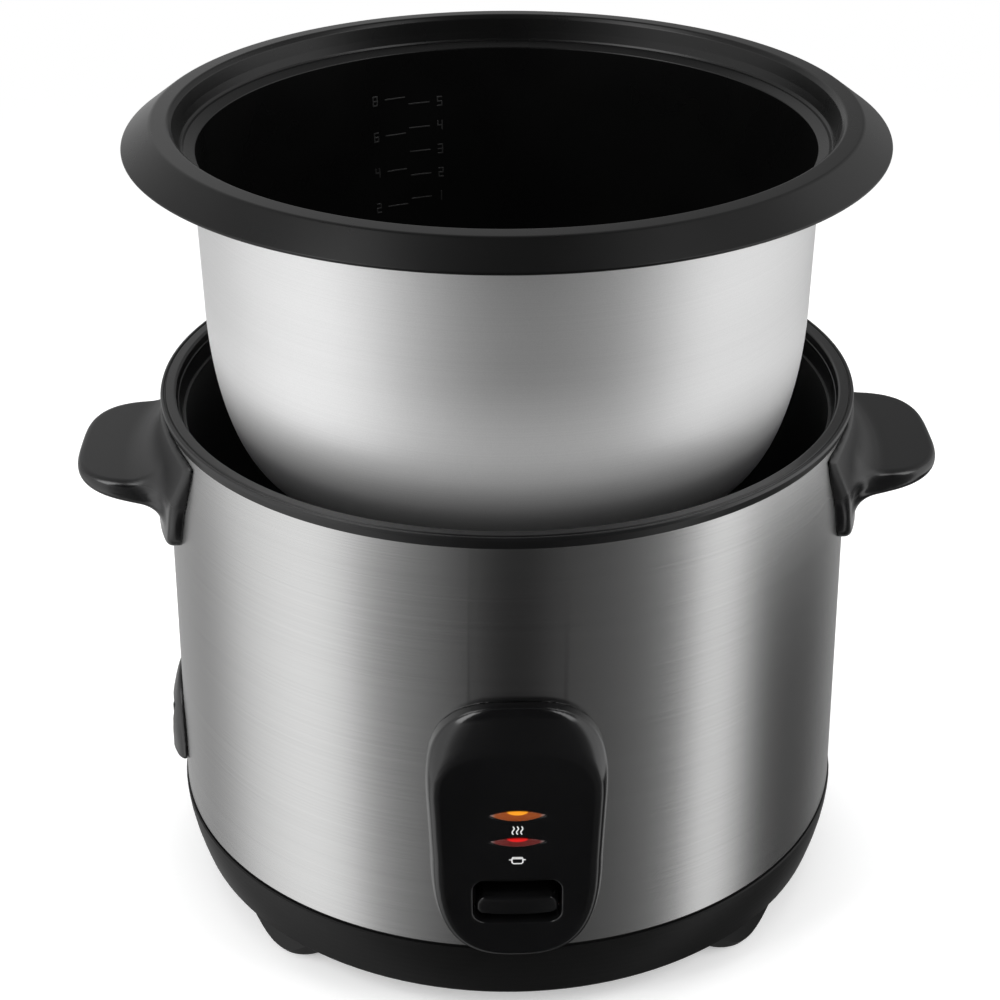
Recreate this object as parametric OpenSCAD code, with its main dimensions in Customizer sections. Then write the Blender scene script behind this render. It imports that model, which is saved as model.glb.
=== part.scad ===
// Rice cooker with a lift-out pot, shown with the pot raised above its well.
// The origin is on the table, on the body's axis. The control panel faces -Y.

/* [Body] */
// Height of the ring's top face above the table
body_h = 203; // [195:1:230]
// Height of the seam between the base and the steel shell
base_h = 35; // [32:0.5:38]
// Height from that seam to the floor of the well
bay_h = 27; // [27:0.5:32]
// Gap between the pot's wall and the liner
well_gap = 8.7; // [6:0.1:12]
// Gap between the liner and the shell, at the ring
jacket_gap = 6.8; // [6.5:0.1:10]
// Sheet thickness of the shell
shell_t = 0.8; // [0.6:0.1:1.2]
// Growth of the shell's radius from its top edge to its bottom edge
shell_flare = 2.6; // [0:0.1:4]
// Sheet thickness of the liner
liner_t = 0.8; // [0.6:0.1:1.2]
// Radius of the bend between the liner's wall and floor
liner_bend = 25; // [20:0.5:28]

/* [Ring] */
// How far the ring reaches out past the shell
ring_over = 1.4; // [0.8:0.1:3]
// Height of the ring's outer edge
ring_edge = 4.5; // [3:0.1:7]
// Width of the sloping lead-in from the ring's face to the liner
ring_lead = 2.4; // [1.5:0.1:4]
// Depth of the ring's skirt behind the shell
ring_skirt = 12; // [10:0.5:16]
// Wall thickness of the ring
ring_wall = 1.2; // [1:0.1:2]

/* [Pot] */
// Outer radius of the pot's wall, at its top
pot_r = 112.3; // [105:0.1:120]
// Wall thickness of the pot
pot_t = 1.6; // [1.2:0.1:2.4]
// Inward lean of the pot's wall, from its top to the start of the bend
pot_draft = 1.1; // [0:0.1:3]
// Width of the bend at the bottom of the wall
bend_w = 22.1; // [15:0.1:30]
// Height of the bend at the bottom of the wall
bend_h = 64.6; // [40:0.1:75]
// Height of the lip's top above the ring, with the pot in place
lip_rise = 6.2; // [5.5:0.1:9]
// Height of the lip above the ledge that carries a lid
collar_h = 11.1; // [8:0.1:16]
// Width of the ledge
ledge_w = 5.6; // [4:0.1:8]
// Outward lean of the collar, from the ledge to the lip
collar_lean = 2.4; // [1:0.1:3]
// How far the skirt reaches out past the ring
skirt_over = 6.6; // [5:0.1:8]
// Radial width of the skirt
skirt_w = 10.3; // [9:0.1:11]
// Drop of the skirt from the lip to its edge
skirt_drop = 8; // [6:0.1:8.8]
// Height of the pot above its seat as it is shown
pot_lift = 97.4; // [60:0.1:120]
// Gap between the pot and the plate, with the pot in place
seat_gap = 0.1; // [0.1:0.1:0.5]

/* [Base] */
// Wall thickness of the base
base_wall = 2.2; // [1.8:0.1:3]
// Inward lean of the base's side, from the seam to the bottom corner
base_lean = 4.6; // [2:0.1:8]
// Height of the base's underside above the table
base_floor = 9; // [8:0.5:12]
// Width of the base's underside, from its corner to the opening
base_rim = 49.3; // [44:0.1:56]
// How far the middle of a foot lies inside that corner
foot_in = 14.2; // [12:0.1:24]
// Radius of a foot at the table
foot_r = 12; // [9:0.5:14]
// Growth of a foot's radius up to the base
foot_flare = 7.5; // [3:0.5:8]
// Radius of a foot's rubber pad
pad_r = 9; // [6:0.5:10]
// Thickness of a foot's rubber pad
pad_t = 2; // [1.5:0.1:3]
// Radius of the posts that carry the liner
post_r = 5; // [4:0.5:6]
// How far the posts stand inside the liner's wall
post_in = 33; // [31:0.5:35]

/* [Handles] */
// How far a handle stands out from the shell
handle_out = 34.4; // [26:0.1:50]
// Half width of a handle where it leaves the shell
handle_root = 37; // [30:0.5:42]
// Depth of the grip's top below the ring's top
grip_drop = 27; // [22:0.5:32]
// Thickness of the grip
grip_t = 11; // [8:0.5:14]
// Half width of the shield behind the grip, at the ring
shield_w = 64; // [56:0.5:70]
// Depth of the shield's tip below the ring's top
shield_drop = 50; // [45:0.5:60]
// Thickness of the shield
shield_t = 4.6; // [3:0.1:6]
// Distance of a handle's screws from its middle
handle_screw_y = 20; // [14:0.5:24]

/* [Control panel] */
// Height of the panel
panel_h = 106; // [100:1:120]
// Half width of the panel
panel_w = 31.8; // [31:0.1:36]
// How far the panel laps down over the base
panel_lap = 2; // [1:0.1:4]
// How far the panel's face stands off the shell, at its top
panel_top_out = 11; // [9:0.1:13]
// How far the panel's face stands off the shell, at its bottom
panel_low_out = 5.6; // [5:0.1:8]
// Wall thickness of the panel
panel_wall = 2.5; // [2:0.1:3]
// Height of the slope above the panel's face
panel_brow = 13; // [8:0.5:15]
// Width of the two lamp lenses
lens_w = 20.6; // [18:0.1:24]
// Height of the upper lens
warm_lens_h = 4.3; // [3:0.1:5]
// Height of the lower lens
cook_lens_h = 3.6; // [3:0.1:5]
// Height of the upper lens above the seam
warm_lens_z = 64; // [62:0.1:68]
// Height of the lower lens above the seam
cook_lens_z = 52.5; // [51:0.1:54]
// Width of the recess around the switch
recess_w = 31.5; // [30.5:0.1:34]
// Height of the recess around the switch
recess_h = 19.6; // [18:0.1:22]
// Height of the recess's lower edge above the seam
recess_z = 16; // [15:0.1:16.5]

/* [Switch] */
// Width of the switch's paddle
paddle_w = 29.3; // [24:0.1:30]
// Height of the paddle's front face
paddle_h = 7.9; // [6:0.1:9]
// Height of the paddle's underside above the seam
paddle_z = 18.8; // [18.4:0.1:19.5]
// How far the lever's pin lies behind the shell
pivot_in = 26.6; // [24:0.1:30]
// Height of the lever's pin above the seam
pivot_z = 17; // [16:0.1:18]
// Radius of the lever's pin
pin_r = 2; // [1.5:0.1:2.5]
// Radial clearance of pins and rods in their holes
run_gap = 0.05; // [0.02:0.01:0.09]
// Thickness of the lever's steel
lever_t = 3; // [2:0.1:3.5]
// How far the lever's back end tilts up, in degrees
lever_tilt = 3.5; // [2:0.1:3.8]

/* [Heater and sensor] */
// How far the heating plate's edge lies inside the pot's wall
plate_in = 26.3; // [22:0.1:30]
// Thickness of the heating plate
plate_t = 6; // [5:0.5:8]
// Height of the plate's underside above the well's floor
plate_lift = 10; // [9:0.5:12]
// How far the heating element's ring lies inside the plate's edge
element_in = 26; // [25:0.5:36]
// Radius of the heating element's tube
element_r = 3.5; // [2.5:0.1:4]
// Radius of the sensor's cap
cap_r = 18; // [17:0.1:20]
// Height of the sensor's cap
cap_h = 28; // [26:0.5:30]
// Sheet thickness of the sensor's cap and its guide
cap_t = 1; // [0.8:0.1:1.4]
// How far the cap stands above the plate with no pot on it
cap_rise = 2.8; // [1.5:0.1:3]
// How far the cap is pressed down by the pot
cap_travel = 2.95; // [2.9:0.01:3.2]
// Radius of the magnet
magnet_r = 9; // [7:0.5:11]
// Thickness of the magnet, and of the ferrite above it
magnet_t = 6; // [4:0.5:7]
// Radius of the magnet's rod
rod_r = 2.5; // [2:0.1:3]

// Height of the keep-warm band round the liner
band_h = 25; // [15:1:35]
// Depth of the band's lower edge below the ring's top
band_low = 78; // [60:1:90]

/* [Mains inlet] */
// Half width of the inlet's surround
bezel_w = 36; // [30:0.5:40]
// Height of the inlet's surround
bezel_h = 46; // [40:0.5:50]
// Thickness of the inlet's surround
bezel_t = 4.5; // [3:0.1:6]
// Width of the socket
socket_w = 24; // [20:0.5:26]
// Height of the socket
socket_h = 16.5; // [15:0.5:17]
// Depth of the socket
socket_d = 17; // [15:0.5:18]
// Height of the socket's middle above the seam
socket_z = 19.5; // [18.5:0.1:20]

/* [Hidden] */

round_fn = 180; // facets of the large rings in the preview
small_fn = 40; // facets of pins and holes in the preview
fit = 0.1; // gap between fixed parts that slide together
free = 0.3; // gap around a moving part
screw_r = 1.7; // radius of every small screw
head_r = 3.2; // radius of every small screw's head
head_t = 2; // thickness of every small screw's head
tap = 0.1; // radial gap of a screw in its hole
far = 400; // longer than the whole part, for cutting

// Radii that follow from the pot
liner_r = pot_r + well_gap; // inner radius of the liner
liner_ro = liner_r + liner_t;
shell_r = liner_ro + jacket_gap; // outer radius of the shell at its top
ring_r = shell_r + ring_over;
skirt_r = ring_r + skirt_over;
plate_r = pot_r - plate_in;
element_ring = plate_r - element_in;
post_at = liner_r - post_in;
pivot_y = shell_r - pivot_in; // distance of the lever's pin in front of the axis

// Heights above the table
shell_top = body_h - ring_edge;
floor_z = base_h + bay_h; // top of the well's floor
floor_b = floor_z - liner_t;
plate_b = floor_z + plate_lift; // underside of the plate
plate_top = plate_b + plate_t;
pot_h = body_h + lip_rise - plate_top - seat_gap; // from the pot's underside to its lip
pot_z = plate_top + seat_gap + pot_lift; // the pot's underside as shown
cap_top = plate_top + cap_rise;
ferrite_b = cap_top - 1.2 * cap_t - magnet_t;
fork_drop = 14.5; // depth of the lever's back end below its pin
pin_z = base_h + pivot_z;
fork_top = pin_z - fork_drop;
rod_travel = pivot_y * sin(lever_tilt);
magnet_b = ferrite_b - cap_travel - rod_travel - 0.4 - magnet_t;
guide_z = cap_top - cap_h - cap_travel - 1.85; // top of the guide's floor
panel_z = base_h - panel_lap;

function shell_ro(z) = shell_r + shell_flare * (shell_top - z) / (shell_top - base_h);
function arc(cx, cz, r, a0, a1, n) =
    [for (i = [0:n]) let (a = a0 + (a1 - a0) * i / n) [cx + r * cos(a), cz + r * sin(a)]];
function oval(a, b, n, a0, a1, steps) = // part of a rounded rectangle with the half sizes a and b
    [for (i = [0:steps]) let (t = a0 + (a1 - a0) * i / steps, c = cos(t), s = sin(t))
        [a * sign(c) * pow(abs(c), 2 / n), b * sign(s) * pow(abs(s), 2 / n)]];
function move(points, d) = [for (p = points) p + d];
function unit(v) = v / norm(v);

module along_x(x0, x1, r) translate([x0, 0, 0]) rotate([0, 90, 0])
    cylinder(h = x1 - x0, r = r, $fn = small_fn);
module along_y(y0, y1, r) translate([0, y1, 0]) rotate([90, 0, 0])
    cylinder(h = y1 - y0, r = r, $fn = small_fn);
module block(a, b) translate(a) cube(b - a);
module shell_core(grow) // everything inside the shell's outer face, grown by a gap
    cylinder(h = shell_top, r1 = shell_ro(0) + grow, r2 = shell_r + grow, $fn = round_fn);
module turned(points) rotate_extrude($fn = round_fn) polygon(points);
module four_feet() for (x = [-1, 1], y = [-1, 1]) translate([x * foot_at, y * foot_at, 0]) children();
module three_posts() for (a = [-30, 90, 210]) rotate([0, 0, a]) translate([post_at, 0, 0]) children();

module tube_path(points, r, level) { // a wire through the points; it never runs along level
    n = len(points);
    sides = 8;
    dir = [for (i = [0:n - 1]) unit(points[min(i + 1, n - 1)] - points[max(i - 1, 0)])];
    rings = [for (i = [0:n - 1]) let (u = unit(cross(dir[i], level)), v = cross(dir[i], u))
        for (k = [0:sides - 1]) points[i] + r * (cos(360 * k / sides) * u + sin(360 * k / sides) * v)];
    walls = [for (i = [0:n - 2], k = [0:sides - 1])
        let (a = i * sides + k, b = i * sides + (k + 1) % sides) [a, b, b + sides, a + sides]];
    polyhedron(rings, concat(walls, [[for (k = [sides - 1:-1:0]) k]],
        [[for (k = [0:sides - 1]) (n - 1) * sides + k]]), convexity = 6);
}

module outer_shell() color("#a9a9a6") difference() {
    turned([[shell_r - shell_t, shell_top], [shell_r, shell_top],
        [shell_ro(base_h), base_h], [shell_ro(base_h) - shell_t, base_h]]);
    block([-recess_w / 2, -far, base_h + recess_z - 1.5], [recess_w / 2, 0, base_h + recess_z + 13]);
    block([-16, -far, base_h + cook_lens_z - 6.5], [16, 0, base_h + warm_lens_z + 5]);
    panel_screws_at() along_y(-far, 0, screw_r + tap);
    handle_screws_at() along_x(0, far, screw_r + tap);
    socket_box(0, far, socket_wall + fit);
}

// Sizes of the ring's two skirts
ring_tuck = 9; // depth of the inner skirt, which stands on the liner's flange
skirt_out = shell_r - shell_t - fit;
skirt_in = skirt_out - ring_wall;
lead_r = liner_r + 0.9; // lower end of the lead-in

module top_ring() color("#151515") turned([
    [ring_r - 1, shell_top], [ring_r, body_h - 1.2], [ring_r - 0.2, body_h - 0.4], [ring_r - 0.7, body_h],
    [ring_r - 1.1, body_h - 0.05], [ring_r - 1.3, body_h - 0.5], [ring_r - 1.7, body_h - 0.5],
    [ring_r - 1.9, body_h - 0.15], [ring_r - 3.2, body_h], [liner_r + ring_lead + 1.6, body_h],
    [liner_r + ring_lead + 0.6, body_h - 0.2], [liner_r + ring_lead, body_h - 0.9],
    [lead_r, body_h - ring_tuck], [lead_r + ring_wall, body_h - ring_tuck],
    [lead_r + ring_wall, body_h - 3], [skirt_in, body_h - 3], [skirt_in, body_h - ring_skirt],
    [skirt_out, body_h - ring_skirt], [skirt_out, shell_top]]);

module inner_liner() color("#2b2b2b") difference() {
    rim_z = body_h - ring_tuck; // top of the flange
    turned(concat([[cap_r + 6, floor_b]],
        arc(liner_r - liner_bend, floor_z + liner_bend, liner_bend + liner_t, -90, 0, 12),
        [[liner_ro, rim_z - liner_t], [skirt_in - fit, rim_z - liner_t], [skirt_in - fit, rim_z],
            [liner_r, rim_z]],
        arc(liner_r - liner_bend, floor_z + liner_bend, liner_bend, 0, -90, 12), [[cap_r + 6, floor_z]]));
    three_spacers() hole(screw_r + tap);
    three_posts() hole(screw_r + tap);
    rivet_places() hole(rivet_r + tap);
    terminal_places() hole(bush_r + tap);
}
module hole(r) cylinder(h = floor_z + 5, r = r, $fn = small_fn);

// The base's outer side leans in from the seam to the corner above its underside
base_r = shell_ro(base_h) + 0.7; // widest radius of the base, just under the seam
base_collar = 7; // height of the collar that stands inside the shell
collar_out = shell_ro(base_h + base_collar) - shell_t - fit;
collar_in = collar_out - 1.8;
corner_r = base_r - base_lean;
base_hole = corner_r - base_rim; // radius of the opening in the underside
foot_at = (corner_r - foot_in) / sqrt(2); // along X and along Y
foot_gap = 0.5; // how far a pad stands out of its foot
boss_h = 8; // height of the bosses for the bottom plate's screws
function base_side() = [for (i = [0:8]) let (t = i / 8)
    [base_r - base_lean * pow(t, 1.6), base_h - 1.6 - t * (base_h - 3.6 - base_floor)]];

module base() color("#1b1b1b") difference() {
    union() {
        turned(concat([[collar_in, base_h + base_collar], [collar_out, base_h + base_collar],
            [collar_out, base_h], [base_r - 1, base_h], [base_r - 1, base_h - 1],
            [base_r - 0.4, base_h - 1]], base_side(),
            [[corner_r - 1.2, base_floor + 0.6], [corner_r - 3, base_floor], [base_hole, base_floor],
            [base_hole, base_floor + base_wall], [corner_r - base_wall - 2, base_floor + base_wall],
            [corner_r - base_wall, base_floor + base_wall + 2], [collar_in, base_h - 4]]));
        intersection() {
            four_feet() translate([0, 0, foot_gap]) cylinder(h = base_floor + 1.5 - foot_gap,
                r1 = foot_r, r2 = foot_r + foot_flare, $fn = small_fn);
            cylinder(h = far, r = corner_r - 0.4, $fn = round_fn);
        }
        three_posts() translate([0, 0, base_floor])
            cylinder(h = floor_b - base_floor, r = post_r, $fn = small_fn);
        plate_screws_at() translate([0, 0, base_floor]) cylinder(h = boss_h, r = 4, $fn = small_fn);
    }
    four_feet() translate([0, 0, -1]) cylinder(h = 1 + pad_t, r = pad_r + fit, $fn = small_fn);
    three_posts() translate([0, 0, floor_b - post_screw - 1])
        cylinder(h = far, r = screw_r + tap, $fn = small_fn);
    plate_screws_at() translate([0, 0, base_floor - 1])
        cylinder(h = boss_h, r = screw_r + tap, $fn = small_fn);
}

module foot_pads() color("#303030") four_feet() cylinder(h = pad_t, r = pad_r, $fn = small_fn);

plate_lap = 7; // how far the bottom plate laps past the opening
sheet_t = 1; // thickness of the bottom plate
vent_in = 30; // where the bottom plate's slots start
vent_l = 26;
vent_r = 2;
module plate_screws_at() for (a = [10:90:280]) rotate([0, 0, a])
    translate([base_hole + plate_lap / 2, 0, 0]) children();
module bottom_plate() color("#8c8c8a") difference() {
    translate([0, 0, base_floor - sheet_t]) cylinder(h = sheet_t, r = base_hole + plate_lap, $fn = round_fn);
    plate_screws_at() cylinder(h = far, r = screw_r + tap, $fn = small_fn);
    for (a = [0:30:330]) rotate([0, 0, a]) linear_extrude(far) {
        translate([vent_in, -vent_r]) square([vent_l, 2 * vent_r]);
        for (x = [vent_in, vent_in + vent_l]) translate([x, 0]) circle(vent_r, $fn = small_fn);
    }
}
module screw(length) { // stands on its head's outer face, with its tip towards +Z
    cylinder(h = head_t, r = head_r, $fn = small_fn);
    cylinder(h = head_t + length, r = screw_r, $fn = small_fn);
}
post_screw = 14; // length of a post's screw
module plate_screws() color("#9a9a9a")
    plate_screws_at() translate([0, 0, base_floor - sheet_t - head_t]) screw(boss_h - 1);
module post_screws() color("#9a9a9a") three_posts()
    translate([0, 0, floor_z + head_t]) mirror([0, 0, 1]) screw(post_screw);

// Handles. Both are one moulding, turned round for the left side.
grip_top = body_h - grip_drop;
grip_root = shell_r - 3.6; // where the grip's rounded outline starts
handle_reach = shell_r + handle_out;
function shield_edge() = [[shield_w, -ring_edge], [shield_w - 3.5, -14], [shield_w - 9.5, -26],
    [shield_w - 12, -34], [shield_w - 15.5, 8 - shield_drop], [shield_w - 22, 3 - shield_drop],
    [30, 0.5 - shield_drop], [0, -shield_drop]];
module handle_screws_at() for (s = [0, 1], y = [-1, 1]) mirror([s, 0, 0])
    translate([0, y * handle_screw_y, grip_top - grip_t / 2]) children();
module grip_layer(inset, z) translate([grip_root, 0, z]) linear_extrude(0.01)
    polygon(oval(handle_reach - grip_root - inset, handle_root - inset, 2.4, -90, 90, 24));
module handle() color("#141414") difference() {
    union() {
        hull() {
            grip_layer(4, grip_top - 0.01);
            grip_layer(1.2, grip_top - 1.2);
            grip_layer(0, grip_top - 4);
            grip_layer(0, grip_top - grip_t + 4);
            grip_layer(1.2, grip_top - grip_t + 1.2);
            grip_layer(4, grip_top - grip_t);
        }
        intersection() { // the shield behind the grip
            shell_core(shield_t);
            translate([0, 0, body_h]) rotate([90, 0, 90]) linear_extrude(far) polygon(concat(
                shield_edge(), [for (i = [6:-1:0]) [-shield_edge()[i].x, shield_edge()[i].y]]));
        }
        intersection() { // fillets between the grip and the shield
            rotate_extrude($fn = round_fn) polygon(concat([[shell_r, grip_top + 9]],
                arc(shell_r + shield_t + 8.4, grip_top + 8.4, 8.6, 180, 270, 8),
                arc(shell_r + shield_t + 7.9, grip_top - grip_t - 7, 7.2, 90, 180, 8),
                [[shell_r, grip_top - grip_t - 7]]));
            block([0, -handle_root + 3, 0], [far, handle_root - 3, far]);
        }
    }
    shell_core(fit);
    handle_screws_at() along_x(0, shell_r + 9, screw_r + tap);
}
module handle_right() handle();
module handle_left() mirror([1, 0, 0]) handle();
module handle_screws() color("#9a9a9a") {
    seat = sqrt(pow(shell_r - shell_t, 2) - pow(handle_screw_y + head_r, 2)) - 0.1; // flat seat on the curve
    handle_screws_at() translate([seat - head_t, 0, 0]) rotate([0, 90, 0]) screw(shell_r + 7 - seat);
}

// Control panel. Its face is a plane that leans back a little towards the bottom.
face_z = panel_z + panel_h - panel_brow; // top edge of the face
face_y = -(shell_ro(face_z) + panel_top_out);
face_lean = atan((-face_y - shell_ro(base_h) - panel_low_out) / (face_z - base_h));
brow_b = 34; // height of the outline's rounded top
chin_b = 45; // height of the outline's rounded bottom
module on_face(depth) // local X across, Y up the face from its top edge, Z out of it
    translate([0, face_y, face_z]) rotate([90 + face_lean, 0, 0]) translate([0, 0, -depth]) children();
function up_face(z) = (base_h + z - face_z) / cos(face_lean); // from a height above the seam
function panel_outline(inset, brow) = concat(
    move(oval(panel_w - inset, brow_b - brow, 2.75, 0, 180, 24), [0, panel_brow - brow_b]),
    move(oval(panel_w - 1 - inset, chin_b - inset, 2.75, 180, 360, 24), [0, panel_brow - panel_h + chin_b]));
panel_deep = 27; // how deep the panel's hollow is cut, into the shell
module panel_layer(depth, inset, brow)
    on_face(depth) linear_extrude(0.01) polygon(panel_outline(inset, brow));
module hollow(depth, inset, brow)
    on_face(panel_deep) linear_extrude(panel_deep - depth) polygon(panel_outline(inset, brow));
module rounded(w, h, r) { // a flat rectangle with round corners
    translate([-w / 2, -h / 2 + r]) square([w, h - 2 * r]);
    translate([-w / 2 + r, -h / 2]) square([w - 2 * r, h]);
    for (x = [-1, 1], y = [-1, 1])
        translate([x * (w / 2 - r), y * (h / 2 - r)]) circle(r, $fn = small_fn);
}
module lens_shape(w, h) { // the overlap of two circles
    r = (w * w / 4 + h * h / 4) / h;
    intersection_for(y = [-1, 1]) translate([0, y * (r - h / 2)]) circle(r, $fn = round_fn);
}
panel_screw_x = 20; // distance of the panel's screws from its middle
module panel_screws_at() for (x = [-1, 1]) translate([x * panel_screw_x, 0, face_z - 8]) children();
module recess_at(depth) on_face(depth) translate([0, up_face(recess_z + recess_h / 2), 0]) children();
module control_panel() color("#0d0d0d") difference() {
    union() {
        difference() {
            hull() {
                panel_layer(0, 4, panel_brow);
                panel_layer(1.2, 2.2, panel_brow - 3.5);
                panel_layer(4, 0.7, 5);
                panel_layer(9, 0, 0);
                panel_layer(panel_deep - 2, 0, 0);
            }
            hollow(panel_wall, 5.5, panel_brow + 1);
            hollow(panel_wall + 5.5, 3, 6);
        }
        recess_at(panel_deep - 1) linear_extrude(panel_deep - 1 - panel_wall / 2)
            rounded(recess_w + 3, recess_h + 3, 6.5);
        panel_screws_at() along_y(face_y + panel_wall, 0, head_r);
    }
    shell_core(fit);
    recess_at(panel_deep) linear_extrude(panel_deep + 1) rounded(recess_w, recess_h, 5);
    on_face(panel_wall + 2) translate([0, up_face(warm_lens_z), 0])
        linear_extrude(panel_wall + 3) lens_shape(lens_w, warm_lens_h);
    on_face(panel_wall + 2) translate([0, up_face(cook_lens_z), 0])
        linear_extrude(panel_wall + 3) lens_shape(lens_w, cook_lens_h);
    panel_screws_at() along_y(face_y + panel_wall + 1.5, 0, screw_r + tap);
}
module panel_screws() color("#9a9a9a") {
    seat = sqrt(pow(shell_ro(face_z) - shell_t, 2) - pow(panel_screw_x + head_r, 2)) - 0.1;
    panel_screws_at() translate([0, head_t - seat, 0]) rotate([90, 0, 0]) screw(7);
}
module lens(z, h) on_face(0) translate([0, up_face(z), 0]) {
    translate([0, 0, -panel_wall - 0.5]) linear_extrude(panel_wall + 0.3)
        lens_shape(lens_w - 2 * fit, h - 2 * fit);
    translate([0, 0, -panel_wall - 1]) linear_extrude(1) lens_shape(lens_w + 3, h + 3);
}
module warm_lens() color("#c8641e") lens(warm_lens_z, warm_lens_h);
module cook_lens() color("#a02020") lens(cook_lens_z, cook_lens_h);

// Lamps behind the lenses
lamp_r = 2.5;
lamp_depth = panel_wall + 4; // from the panel's face to a lamp's middle
module lamp_at(z) on_face(lamp_depth) translate([0, up_face(z), 0]) children();
lamp_half = lens_w / 2 + 3.6; // half the length of a lamp
lamps_h = warm_lens_z - cook_lens_z + 8; // height of the holder
holder_out = lamp_half + 1.1; // half width of the holder
holder_deep = lamp_depth + 7;
holder_t = 2;
module lamp_holder() color("#d8d4c8") difference() {
    on_face(holder_deep) translate([0, up_face(cook_lens_z - 5), 0]) {
        for (x = [-holder_out, holder_out - holder_t])
            translate([x, 0, 0]) cube([holder_t, lamps_h, holder_deep - panel_wall]);
        translate([-holder_out, 0, 0]) cube([2 * holder_out, lamps_h, holder_t + 0.5]);
    }
    for (z = [warm_lens_z, cook_lens_z]) lamp_at(z) along_x(-lamp_half - fit, lamp_half + fit, lamp_r + fit);
    shell_core(-shell_t - 4); // keeps it clear of the liner
}
module warm_lamp() color("#ffb060") lamp_at(warm_lens_z) along_x(-lamp_half, lamp_half, lamp_r);
module cook_lamp() color("#ff7050") lamp_at(cook_lens_z) along_x(-lamp_half, lamp_half, lamp_r);

// Heating plate and what hangs below the well's floor
spacer_at = element_ring + 14; // distance of the spacers from the centre
rib_z = plate_b - element_r - 0.5; // middle of the heating element's tube
bush_r = 5;
rivet_r = 1.6;
term_a = 165; // angle of the heating element's ends
term_drop = 9; // how far the element's ends reach below the well's floor
module three_spacers()
    for (a = [0, 120, 240]) rotate([0, 0, a]) translate([spacer_at, 0, 0]) children();
module terminal_places()
    for (a = [-term_a, term_a]) rotate([0, 0, a]) translate([element_ring, 0, 0]) children();
module heating_plate() color("#b9bab8") difference() {
    rib = element_r + 4; // half width of the rib that holds the element
    turned([[cap_r + 1, plate_top], [plate_r - 1.5, plate_top], [plate_r, plate_top - 1.5],
        [plate_r, plate_b], [element_ring + rib + 1, plate_b], [element_ring + rib, rib_z],
        [element_ring - rib, rib_z], [element_ring - rib - 1, plate_b], [cap_r + 1, plate_b]]);
    rotate_extrude($fn = round_fn) translate([element_ring, rib_z]) circle(element_r + 0.05, $fn = small_fn);
    three_spacers() cylinder(h = plate_b + 4, r = screw_r + tap, $fn = small_fn);
}
module heating_element() color("#8a7f74") {
    rotate([0, 0, -term_a]) rotate_extrude(angle = 2 * term_a, $fn = round_fn)
        translate([element_ring, rib_z]) circle(element_r, $fn = small_fn);
    terminal_places() translate([0, 0, floor_b - term_drop])
        cylinder(h = rib_z - floor_b + term_drop, r = 2, $fn = small_fn);
}
module terminal_bushes() color("#e6e1d6") terminal_places() difference() {
    union() {
        translate([0, 0, floor_b - 2]) cylinder(h = 4, r = bush_r, $fn = small_fn);
        translate([0, 0, floor_z]) cylinder(h = 1.5, r = bush_r + 1.5, $fn = small_fn);
    }
    cylinder(h = far, r = 2.05, $fn = small_fn);
}
module plate_spacers() color("#b0b0ae") three_spacers() translate([0, 0, floor_z]) difference() {
    cylinder(h = plate_lift, r = 5, $fn = small_fn);
    translate([0, 0, -1]) cylinder(h = plate_lift + 2, r = screw_r + tap, $fn = small_fn);
}
module plate_bolts() color("#9a9a9a")
    three_spacers() translate([0, 0, floor_b - head_t]) screw(liner_t + plate_lift + 3.5);
module keep_warm_band() color("#c9b88a") rotate([0, 0, 120]) rotate_extrude(angle = 300, $fn = round_fn)
    translate([liner_ro + 0.05, body_h - band_low]) square([1.5, band_h]);

fuse_r = 2.2;
fuse_l = 24;
fuse_a = 42; // angle of the fuse round the well's axis
fuse_at = [element_ring * cos(fuse_a), element_ring * sin(fuse_a), floor_b - fuse_r - 1];
module thermal_fuse() color("#e9e4d8") translate(fuse_at) {
    along_x(-fuse_l / 2, fuse_l / 2, fuse_r);
    along_x(-fuse_l / 2 - 8, fuse_l / 2 + 8, 0.6);
}
module fuse_clip() color("#9fa09e") difference() { // a saddle with a flange on each side
    block(fuse_at - [4, 6, fuse_r + 0.6], [fuse_at.x + 4, fuse_at.y + 6, floor_b]);
    translate(fuse_at) along_x(-6, 6, fuse_r + run_gap);
    for (y = [-7, 3.6])
        block(fuse_at + [-5, y, -fuse_r - 2], [fuse_at.x + 5, fuse_at.y + y + 3.4, floor_b - 1.2]);
}

// Sensor under the pot, with the magnet that holds the switch down
guide_in = cap_r + free;
guide_out = guide_in + cap_t;
module sensor_guide() color("#a8a8a4") turned([
    [rod_r + run_gap, guide_z - cap_t], [guide_out, guide_z - cap_t], [guide_out, floor_b - cap_t],
    [cap_r + 10, floor_b - cap_t], [cap_r + 10, floor_b], [guide_in, floor_b], [guide_in, guide_z],
    [rod_r + run_gap, guide_z]]);
module sensor_cap() color("#c4c5c2") turned([[0, cap_top], [cap_r - 1.5, cap_top], [cap_r, cap_top - 1.5],
    [cap_r, cap_top - cap_h], [cap_r - cap_t, cap_top - cap_h], [cap_r - cap_t, cap_top - 1.2 * cap_t],
    [0, cap_top - 1.2 * cap_t]]);
module ferrite_disc() color("#4a4a4c")
    translate([0, 0, ferrite_b]) cylinder(h = magnet_t, r = cap_r - 6, $fn = round_fn);
spring_r = 0.8; // radius of the spring's wire
spring_turns = 6;
module sensor_spring() color("#b5b5b5") {
    low = guide_z + spring_r + 0.05;
    high = cap_top - 1.2 * cap_t - spring_r - 0.05;
    ring = cap_r - cap_t - 2.5;
    steps = 16 * spring_turns;
    tube_path([for (i = [0:steps]) let (a = 360 * spring_turns * i / steps)
        [ring * cos(a), ring * sin(a), low + (high - low) * i / steps]], spring_r, [0, 0, 1]);
}
module magnet() color("#3c3c40")
    translate([0, 0, magnet_b]) cylinder(h = magnet_t, r = magnet_r, $fn = round_fn);
clip_top = fork_top - lever_t - 2; // top of the clip below the lever
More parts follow.
